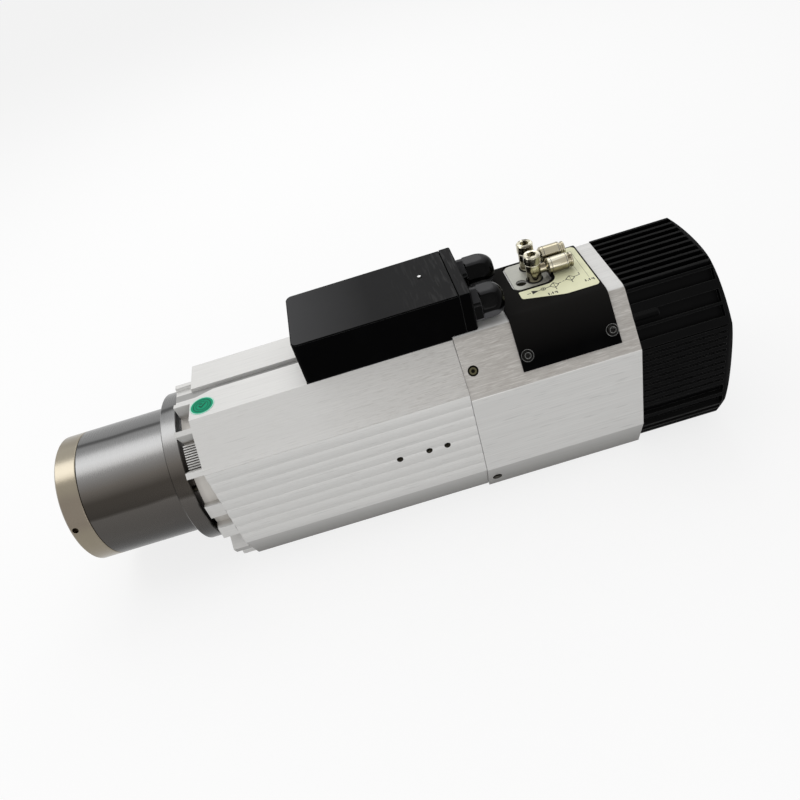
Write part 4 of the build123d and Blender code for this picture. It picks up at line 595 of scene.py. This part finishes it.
# painted sheen: the lid's upward faces are lighter than the sides, and lighter still towards its front end;
# the short marks across it at the rear are rubs
lid = coat_box.band(coat_box.facing("Z"), 0.9, 2.0, 0.1)
coat_box.tint(lid, LID_SHEEN, 0.0, 1.0, 1.0)
front_sheen = coat_box.math("MULTIPLY", lid, coat_box.spread(coat_box.axis("X"), 1.0, 0.0, 0.21, 0.285))
coat_box.tint(front_sheen, LID_FRONT_SHEEN, 0.0, 1.0, 0.9)
rubs = coat_box.spread(coat_box.noise((500.0, 60.0, 60.0), detail=3.0), 0.0, 1.0, 0.52, 0.66)
rubs = coat_box.math("MULTIPLY", rubs, coat_box.spread(coat_box.axis("X"), 0.0, 1.0, 0.30, 0.36))
coat_box.tint(coat_box.math("MULTIPLY", rubs, lid), LID_RUBS, 0.0, 1.0, 0.7)
coat_saddle = coated_black("coat_saddle", COAT, 0.45, specular=0.008)
# painted highlight: the saddle cover grows lighter towards its top
coat_saddle.tint(coat_saddle.axis("Z"), SADDLE_UPPER_SHEEN, 0.052, 0.077, 1.0)
coat_cover = coated_black("coat_cover", COAT, 0.5, grain=0.05, edge=COVER_EDGE_WEAR_AND_HIGHLIGHT, bevel=0.4, specular=0.03)
# painted highlight: its top and the chamfer at its rear are a little lighter
cover_top_highlight = coat_cover.spread(coat_cover.facing("Z"), 0.0, 1.0, 0.5, 0.8)
coat_cover.tint(cover_top_highlight, COVER_TOP_HIGHLIGHT, 0.0, 1.0, 1.0)
coat_cover.tint(coat_cover.axis("X"), COVER_CHAMFER_HIGHLIGHT, 0.5425, 0.546, 0.8)
black_plastic = moulded("black_plastic", (0.0012, 0.0012, 0.0012), 0.14, grain=0.002, specular=0.05)
# painted highlight on the glands' top facets, painted reflection on their lower facets, and painted glints
# along their edges
black_plastic.tint(black_plastic.facing("Z"), GLAND_TOP_HIGHLIGHT, 0.72, 0.92, 1.0)
black_plastic.tint(black_plastic.facing("Z"), GLAND_UNDER_REFLECTION, -0.15, -0.5, 1.0)
black_plastic.edge_wear_and_highlight(GLAND_EDGE_GLINT, 0.01, 0.12, 0.9)
fan_plastic = moulded("fan_plastic", (0.012, 0.012, 0.012), 0.4)
rubber = moulded("rubber", (0.008, 0.008, 0.008), 0.7)
cream_plastic = moulded("cream_plastic", (0.62, 0.58, 0.46), 0.4, specular=0.45)
copper = plain_metal("copper_wire", (0.55, 0.22, 0.08), 0.35)
brass = turned_metal("brass", (0.65, 0.45, 0.18), 0.3)
spring_steel = turned_metal("spring_steel", (0.15, 0.15, 0.155), 0.35)
plate_metal = extruded_aluminium("plate_metal", (0.36, 0.36, 0.325), 0.6, metallic=0.5)
label_film = printed_film("label_film", (0.82, 0.82, 0.56))
label_ink = printed_film("label_ink", (0.012, 0.012, 0.012))
pale_ink = printed_film("pale_ink", (0.10, 0.11, 0.075))
sticker_film = printed_film("sticker_film", (0.004, 0.32, 0.165), specular=0.08)
sticker_ink = printed_film("sticker_ink", (0.003, 0.05, 0.03), specular=0.1)
sticker_rim = printed_film("sticker_rim", (0.42, 0.80, 0.66))

NODE_MATERIALS = {
    housing_metal: ("front_housing",),
    rear_metal: ("rear_housing",),
    aluminium_turned: (
        "rear_bearing_carrier", "rotor_end_rings", "release_cylinder", "release_piston", "cylinder_cover",
    ),
    nose_steel: ("front_bearing_housing",),
    ring_nickel: ("front_ring",),
    ground_steel: (
        "spindle_shaft", "front_outer_rings", "front_outer_spacer", "rear_outer_ring", "front_inner_rings",
        "front_inner_spacer", "rear_inner_ring", "drawbar",
    ),
    dark_steel: (
        "stator_core", "rotor_core", "front_locknut", "rear_locknut", "drive_keys", "tool_gripper",
        "drawbar_nut",
    ),
    black_steel: ("flange_screws", "cylinder_screws"),
    shaded_sunk_steel: ("housing_screws",),
    screw_steel: ("saddle_screws", "fan_screws"),
    nickel: ("elbow_near", "elbow_far", "release_collet_near", "release_collet_far", "proximity_sensors"),
    guard_chrome: ("fan_guard",),
    bolt_nickel: ("banjo_bolts",),
    coat_box: ("terminal_box", "box_end_plate", "box_screw"),
    coat_saddle: ("saddle_cover",),
    coat_cover: ("fan_cover",),
    black_plastic: ("gland_bodies", "gland_nuts"),
    fan_plastic: ("fan_frame", "fan_impeller"),
    rubber: ("box_gasket", "piston_seal"),
    cream_plastic: ("terminal_block",),
    copper: ("end_windings",),
    brass: ("drawbar_guide",),
    spring_steel: ("disc_springs", "return_springs"),
    plate_metal: ("port_plate",),
    label_film: ("diagram_label",),
    sticker_film: ("inspection_sticker",),
}
for shader, names in NODE_MATERIALS.items():
    for name in names:
        nodes[name].data.materials.clear()
        nodes[name].data.materials.append(shader.material)

# ---------------------------------------------------------------------------
# Pieces that the solids leave out
# ---------------------------------------------------------------------------


SPLIT_ANGLE = 35.0         # degrees; sharper edges stay sharp in the shading


def add_piece(name, mesh, shader, body="housing", smooth=True):
    """Finishes a mesh in millimetres as a piece that rides on a body."""
    bmesh.ops.scale(mesh, vec=(MM, MM, MM), verts=mesh.verts)
    bmesh.ops.recalc_face_normals(mesh, faces=mesh.faces)
    data = bpy.data.meshes.new(name)
    mesh.to_mesh(data)
    mesh.free()
    for polygon in data.polygons:
        polygon.use_smooth = smooth
    piece = bpy.data.objects.new(name, data)
    bpy.context.scene.collection.objects.link(piece)
    data.materials.append(shader.material)
    if smooth:
        modifier = piece.modifiers.new("edges", "EDGE_SPLIT")
        modifier.split_angle = math.radians(SPLIT_ANGLE)
    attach(piece, body)
    return piece


def turn(mesh, centre, direction, loops, capped=False):
    """Joins loops of (along, [(radius, angle)...]) round an axis into a ring, or a solid with capped ends."""
    frame_matrix = Vector(direction).to_track_quat("Z", "X").to_matrix()
    rows = []
    for along, points in loops:
        row = []
        for radius, angle in points:
            local = Vector((radius * math.cos(angle), radius * math.sin(angle), along))
            row.append(mesh.verts.new(Vector(centre) + frame_matrix @ local))
        rows.append(row)
    pairs = zip(rows, rows[1:]) if capped else zip(rows, rows[1:] + rows[:1])
    for first, second in pairs:
        count = len(first)
        for index in range(count):
            after = (index + 1) % count
            mesh.faces.new((first[index], first[after], second[after], second[index]))
    if capped:
        mesh.faces.new(rows[0])
        mesh.faces.new(list(reversed(rows[-1])))


def circle(radius, steps):
    return [(radius, 2 * math.pi * index / steps) for index in range(steps)]


def polygon_loop(corner_radius, sides, steps):
    """Points along a regular polygon, as many as the circles next to it have."""
    points = []
    half = math.pi / sides
    for index in range(steps):
        angle = 2 * math.pi * index / steps
        within = (angle % (2 * half)) - half
        points.append((corner_radius * math.cos(half) / math.cos(within), angle))
    return points


def ring(mesh, centre, direction, profile, steps=48, capped=False):
    """Ring, or capped solid, turned round an axis from a profile of (along, radius)."""
    turn(mesh, centre, direction, [(along, circle(radius, steps)) for along, radius in profile], capped)


def socket_screw(mesh, centre, direction, head_r, head, hexagon, shank_r, shank, steps=24):
    """Button-head screw with a hexagon socket; centre is under the head, on its seat."""
    outline = [(-shank, shank_r - 0.3), (-shank + 0.3, shank_r), (0.0, shank_r), (0.0, head_r)]
    outline += [(0.3 * head, head_r), (0.6 * head, head_r * 0.92)]
    outline += [(0.85 * head, head_r * 0.78), (head, head_r * 0.62)]
    loops = [(along, circle(radius, steps)) for along, radius in outline]
    loops += [(along, polygon_loop(hexagon, 6, steps)) for along in (head, head * 0.35)]
    turn(mesh, centre, direction, loops, capped=True)


def plate(mesh, outline, low, high):
    """Flat piece with the given outline of (x, y), from one height to another."""
    bottom = [mesh.verts.new((x, y, low)) for x, y in outline]
    top = [mesh.verts.new((x, y, high)) for x, y in outline]
    mesh.faces.new(list(reversed(bottom)))
    mesh.faces.new(top)
    count = len(outline)
    for index in range(count):
        after = (index + 1) % count
        mesh.faces.new((bottom[index], bottom[after], top[after], top[index]))


def stroke(mesh, start, end, width, low, high):
    """Printed straight line."""
    along = Vector((end[0] - start[0], end[1] - start[1])).normalized()
    side = Vector((-along.y, along.x)) * width / 2
    corners = ((start[0] + side.x, start[1] + side.y), (start[0] - side.x, start[1] - side.y))
    corners += ((end[0] - side.x, end[1] - side.y), (end[0] + side.x, end[1] + side.y))
    plate(mesh, corners, low, high)


def open_ring(mesh, centre, radius, width, low, high, steps=40):
    """Printed ring."""
    inner, outer = radius - width / 2, radius + width / 2
    profile = [(low, inner), (low, outer), (high, outer), (high, inner)]
    ring(mesh, (centre[0], centre[1], 0.0), (0, 0, 1), profile, steps)


def box_of(name):
    """Corners of a node in millimetres."""
    low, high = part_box(name)
    return Vector(low) / MM, Vector(high) / MM


# --- diagram on the label ---
label_low, label_high = box_of("diagram_label")
INK = (label_high.z - 0.02, label_high.z + 0.05)
LINE = 0.56
MARK = 0.95
FAINT_LINE = 0.22


def filter_symbol(mesh, centre, half):
    """Square on its corner with a dashed line across it, as on an air diagram."""
    x, y = centre
    corners = ((x - half, y), (x, y - half), (x + half, y), (x, y + half))
    for start, end in zip(corners, corners[1:] + corners[:1]):
        stroke(mesh, start, end, LINE, *INK)
    for low, high in ((-0.8, -0.45), (-0.2, 0.2), (0.45, 0.8)):
        stroke(mesh, (x, y + low * half), (x, y + high * half), LINE, *INK)
    stroke(mesh, (x, y - half), (x, y - half - 2.6), LINE, *INK)


def rounded(corners, steps=8):
    """Outline through (x, y, radius) corners, each rounded by an arc that meets both sides."""
    outline = []
    count = len(corners)
    for index, (x, y, radius) in enumerate(corners):
        here = Vector((x, y))
        back = (Vector(corners[index - 1][:2]) - here).normalized()
        ahead = (Vector(corners[(index + 1) % count][:2]) - here).normalized()
        half = math.acos(max(-1.0, min(1.0, back.dot(ahead)))) / 2
        centre = here + (back + ahead).normalized() * radius / math.sin(half)
        first = here + back * radius / math.tan(half) - centre
        last = here + ahead * radius / math.tan(half) - centre
        swing = math.atan2(first.x * last.y - first.y * last.x, first.dot(last))
        for step in range(steps + 1):
            turned = Matrix.Rotation(swing * step / steps, 2) @ first
            outline.append(tuple(centre + turned))
    return outline


# (x, y, radius) of each corner; the port plate stands in the notch
LABEL_CORNERS = (
    (399.6, -17.0, 2.6), (432.0, -26.6, 22.0), (459.0, -26.6, 3.2), (459.0, 33.5, 4.0), (432.0, 33.5, 0.6),
    (432.0, -7.2, 9.0), (399.6, -7.2, 0.8),
)
label = bmesh.new()
plate(label, rounded(LABEL_CORNERS), label_low.z, label_high.z)
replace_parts(add_piece("label_film", label, label_film, smooth=False), "diagram_label")

diagram = bmesh.new()
plate(diagram, ((409.0, -15.0), (414.6, -12.6), (409.0, -10.2)), *INK)
open_ring(diagram, (418.2, -12.2), 1.7, LINE, *INK)
open_ring(diagram, (418.2, -12.2), 0.45, 0.7, *INK)
filter_symbol(diagram, (427.5, -11.4), 3.6)
filter_symbol(diagram, (441.5, -8.6), 3.6)
for start, end in (
    ((414.6, -12.6), (416.4, -12.3)), ((420.0, -12.0), (423.9, -11.6)), ((431.1, -10.8), (433.6, -10.2)),
    ((434.6, -9.9), (436.2, -9.5)), ((437.0, -9.3), (437.9, -9.0)), ((445.1, -8.2), (449.5, -7.4)),
    ((449.5, -7.4), (449.5, -4.0)), ((405.0, -13.0), (408.0, -12.8)),
):
    stroke(diagram, start, end, LINE, *INK)
add_piece("diagram_lines", diagram, label_ink, smooth=False)

# strokes in place of the figures: (across, low, high) from the place of each group
MARK_STROKES = ((-1.0, -1.4, 1.4), (0.7, -1.4, -0.5), (2.2, -1.4, 1.4), (4.2, -0.6, 1.0), (5.4, -1.9, 1.0))
marks = bmesh.new()
for x, y in ((421.0, -20.6), (451.6, -17.6)):
    for across, low, high in MARK_STROKES:
        stroke(marks, (x + across, y + low), (x + across, y + high), MARK, *INK)
add_piece("diagram_marks", marks, label_ink, smooth=False)

faint = bmesh.new()
for start, end in (
    ((454.5, -14.0), (454.5, 27.0)), ((454.5, 27.0), (441.0, 29.6)), ((449.5, -2.0), (449.5, 12.0)),
    ((446.8, 12.0), (452.2, 12.0)), ((446.8, 16.5), (452.2, 16.5)),
):
    stroke(faint, start, end, FAINT_LINE, *INK)
add_piece("diagram_faint", faint, pale_ink, smooth=False)

# --- inspection sticker: pale rim, printed ring and a tick ---
sticker_low, sticker_high = box_of("inspection_sticker")
sticker_at = (sticker_low + sticker_high) / 2
PRINT = (sticker_high.z - 0.02, sticker_high.z + 0.04)
rim = bmesh.new()
open_ring(rim, sticker_at, 9.55, 0.8, *PRINT, steps=72)
add_piece("sticker_rim", rim, sticker_rim, smooth=False)
tick = bmesh.new()
open_ring(tick, sticker_at, 7.0, 0.6, *PRINT, steps=64)
open_ring(tick, sticker_at, 5.0, 0.5, *PRINT, steps=56)
for start, end in (((-2.6, 0.4), (-0.6, -2.2)), ((-0.6, -2.2), (2.9, 2.6)), ((-2.4, 2.7), (0.2, 2.0))):
    place = [(sticker_at.x + dx, sticker_at.y + dy) for dx, dy in (start, end)]
    stroke(tick, *place, 1.1, *PRINT)
add_piece("sticker_print", tick, sticker_ink, smooth=False)

# --- fan guard of round wire, and its screws ---
guard_x = box_of("fan_guard")[0].x
GUARD_SCREW_AT = 41.25     # half the screw spacing of a 92 mm fan
GUARD_SCREWS = [(y, z) for y in (-GUARD_SCREW_AT, GUARD_SCREW_AT) for z in (-GUARD_SCREW_AT, GUARD_SCREW_AT)]
GUARD_RINGS = (43.0, 34.0, 24.0, 14.0)
guard = bmesh.new()


def wire_ring(mesh, centre, direction, radius, wire, steps=72, around=10):
    """Wire of round section bent into a ring."""
    profile = []
    for index in range(around):
        angle = 2 * math.pi * index / around
        profile.append((wire * math.sin(angle), radius + wire * math.cos(angle)))
    ring(mesh, centre, direction, profile, steps)


def straight_wire(mesh, start, end, wire, around=10):
    """Round wire with closed ends."""
    length = (Vector(end) - Vector(start)).length
    ring(mesh, start, Vector(end) - Vector(start), [(0.0, wire), (length, wire)], around, capped=True)


for radius in GUARD_RINGS:
    wire_ring(guard, (guard_x + 1.9, 0, 0), (1, 0, 0), radius, 0.8)
for y, z in GUARD_SCREWS[:2]:
    reach = 1 - 3.2 / math.hypot(y, z)
    straight_wire(guard, (guard_x + 0.9, y * reach, z * reach), (guard_x + 0.9, -y * reach, -z * reach), 0.85)
for y, z in GUARD_SCREWS:
    wire_ring(guard, (guard_x + 0.8, y, z), (1, 0, 0), 3.0, 0.75, 32)
ring(guard, (guard_x + 1.6, 0, 0), (1, 0, 0), [(0.0, 6.0), (0.5, 6.4), (1.0, 6.0)], 36, capped=True)
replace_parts(add_piece("fan_guard_wires", guard, guard_chrome), "fan_guard")

screws = bmesh.new()
seat_x = guard_x + 1.6
for y, z in GUARD_SCREWS:
    socket_screw(screws, (seat_x, y, z), (1, 0, 0), 3.8, 2.2, 1.5, 2.0, 12.0)
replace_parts(add_piece("fan_guard_screws", screws, screw_steel), "fan_screws")

# --- lid screw: dark head with a bright chrome cap, which paints the glint on its top ---
lid_screw_low, lid_screw_high = box_of("box_screw")
lid_screw_at = (lid_screw_low + lid_screw_high) / 2
lid_screw_height = lid_screw_high.z - lid_screw_low.z
under_head = lid_screw_height - 1.0
head = bmesh.new()
ring(
    head, (lid_screw_at.x, lid_screw_at.y, lid_screw_low.z), (0, 0, 1),
    [
        (0.0, 1.25), (under_head, 1.25), (under_head, 2.0),
        (lid_screw_height - 0.3, 1.9), (lid_screw_height - 0.2, 1.7),
    ],
    36, capped=True,
)
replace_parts(add_piece("lid_screw_head", head, screw_steel), "box_screw")
# the bright chrome top paints the glint on the screw
cap = bmesh.new()
turn(
    cap, (lid_screw_at.x, lid_screw_at.y, lid_screw_high.z - 0.22), (0, 0, 1),
    [
        (0.0, circle(1.35, 36)), (0.2, circle(1.25, 36)),
        (0.2, polygon_loop(0.8, 6, 36)), (0.05, polygon_loop(0.8, 6, 36)),
    ],
    capped=True,
)
add_piece("lid_screw_cap", cap, guard_chrome, smooth=False)

# --- button screws of the saddle cover, on washers ---
saddle_screws = bmesh.new()
washers = bmesh.new()
highlight_rims = bmesh.new()
# the shoulder runs from the edge of the top face down to the side
SHOULDER_TOP_Y = 36.0
SHOULDER_LOW_Z = 36.4
SADDLE_FACE = 1.8          # outside of the saddle cover above the shoulder: a 1.7 sheet on a 0.1 gap
SADDLE_SCREWS_X = (388.7, 455.5)
SADDLE_SCREW_Y = 53.4
shoulder_slope = (REAR_TOP_Z - SHOULDER_LOW_Z) / (SKIN_Y - SHOULDER_TOP_Y)
face_z = REAR_TOP_Z - (SADDLE_SCREW_Y - SHOULDER_TOP_Y) * shoulder_slope
for side in (-1, 1):
    outwards = Vector((0.0, side * shoulder_slope, 1.0)).normalized()
    for x in SADDLE_SCREWS_X:
        seat = Vector((x, side * SADDLE_SCREW_Y, face_z)) + outwards * SADDLE_FACE
        ring(washers, seat, outwards, [(0.02, 3.0), (0.02, 4.6), (0.3, 4.8), (0.55, 4.6), (0.55, 3.0)], 40)
        socket_screw(saddle_screws, seat + outwards * 0.56, outwards, 4.1, 1.8, 1.9, 2.8, 9.0, 36)
        # rings at the socket's edge and round the head, whose lighter steel paints their highlights
        wire_ring(highlight_rims, seat + outwards * 2.36, outwards, 2.35, 0.2, 32, 8)
        wire_ring(highlight_rims, seat + outwards * 0.42, outwards, 4.65, 0.24, 48, 8)
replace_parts(add_piece("saddle_button_screws", saddle_screws, screw_steel), "saddle_screws")
add_piece("saddle_washers", washers, screw_steel)
add_piece("saddle_screw_rims", highlight_rims, rim_highlight_steel)

# --- hexagonal gland nuts with domed ends, and their rubber seals ---
nut_low = box_of("gland_nuts")[0]
GLAND_PLACES = ((-21.5, 91.5, 384.0), (21.5, 91.5, 388.0))
NUT_R = 13.6
NUT_FLAT = 12.4
BORE_R = 5.0
# the dome, as (share of the length, share of the radius)
NUT_DOME = (
    (0.45, 1.0), (0.52, 0.993), (0.58, 0.978), (0.64, 0.955), (0.70, 0.925), (0.76, 0.882), (0.82, 0.826),
    (0.88, 0.752), (0.93, 0.670), (0.97, 0.580), (1.0, 0.500),
)


def flatted(radius, apothem, steps):
    """Circle with six flats, the first one to the top."""
    points = []
    for index in range(steps):
        angle = 2 * math.pi * index / steps
        within = (angle + math.pi / 6) % (math.pi / 3) - math.pi / 6
        points.append((min(radius, apothem / math.cos(within)), angle))
    return points


nuts = bmesh.new()
seals = bmesh.new()
for y, z, end in GLAND_PLACES:
    length = end - nut_low.x
    skin = [(0.0, BORE_R), (0.0, NUT_R - 1.0), (0.5, NUT_R - 0.4), (1.1, NUT_R)]
    skin += [(length * share, NUT_R * part) for share, part in NUT_DOME]
    skin += [(length, BORE_R + 0.5), (length - 0.5, BORE_R)]
    loops = [(along, flatted(radius, NUT_FLAT, 144)) for along, radius in skin]
    turn(nuts, (nut_low.x, y, z), (1, 0, 0), loops)
    ring(
        seals, (end - 4.5, y, z), (1, 0, 0),
        [(0.0, 3.9), (0.0, BORE_R - 0.03), (3.6, BORE_R - 0.03), (3.6, 4.3), (3.1, 3.9)], 36,
    )
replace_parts(add_piece("gland_nuts_hexagonal", nuts, black_plastic), "gland_nuts")
add_piece("gland_seals", seals, rubber)

# --- threads in the open tapped holes, in black steel that paints the shade inside the holes ---


def thread_lining(mesh, mouth, inward, hole_r, depth, pitch, start=0.6, steps=28):
    """Thread crests inside a tapped hole."""
    profile = [(start, hole_r)]
    turns = int((depth - start) / pitch)
    for index in range(turns):
        near = start + index * pitch
        crest = hole_r - 0.45 * pitch
        profile += [(near + 0.42 * pitch, crest), (near + 0.58 * pitch, crest)]
        profile += [(near + 0.96 * pitch, hole_r - 0.04)]
    profile.append((start + turns * pitch, hole_r))
    ring(mesh, mouth, inward, profile, steps)


threads = bmesh.new()
for x in SIDE_HOLES_X:
    thread_lining(threads, (x, -SKIN_Y, SIDE_HOLES_Z), (0, 1, 0), SIDE_HOLE_R, 6.8, 1.0, 1.2)
for x in (152.0, 312.0):
    for y in (-40.0, 40.0):
        thread_lining(threads, (x, y, BASE_Z), (0, 0, 1), 3.4, 13.5, 1.25)
add_piece("hole_threads", threads, black_steel)
port_thread = bmesh.new()
thread_lining(port_thread, (405.8, 5.8, REAR_TOP_Z), (0, 0, -1), 4.3, 9.5, 1.0, 1.3, 36)
add_piece("port_thread", port_thread, black_steel)

# --- two dark rings round each push-in sleeve, which paint the shade of its grooves, and a thin washer under each elbow ---
ELBOW_BOLT_X = 417.0
SLEEVE_Z = 86.3
GROOVES_X = (431.2, 443.4)
for side, y in (("near", 6.0), ("far", 24.5)):
    groove_shade = bmesh.new()
    for x in GROOVES_X:
        wire_ring(groove_shade, (x, y, SLEEVE_Z), (1, 0, 0), 6.42, 0.28, 48, 8)
    add_piece(f"sleeve_groove_shades_{side}", groove_shade, dark_steel, f"elbow_{side}")
    washer = bmesh.new()
    profile = [(0.0, 4.86), (0.0, 6.9), (0.26, 6.9), (0.26, 4.86)]
    ring(washer, (ELBOW_BOLT_X, y, 78.31), (0, 0, 1), profile, 40)
    add_piece(f"banjo_washer_{side}", washer, rubber)

bpy.context.scene.view_settings.view_transform = "Standard"
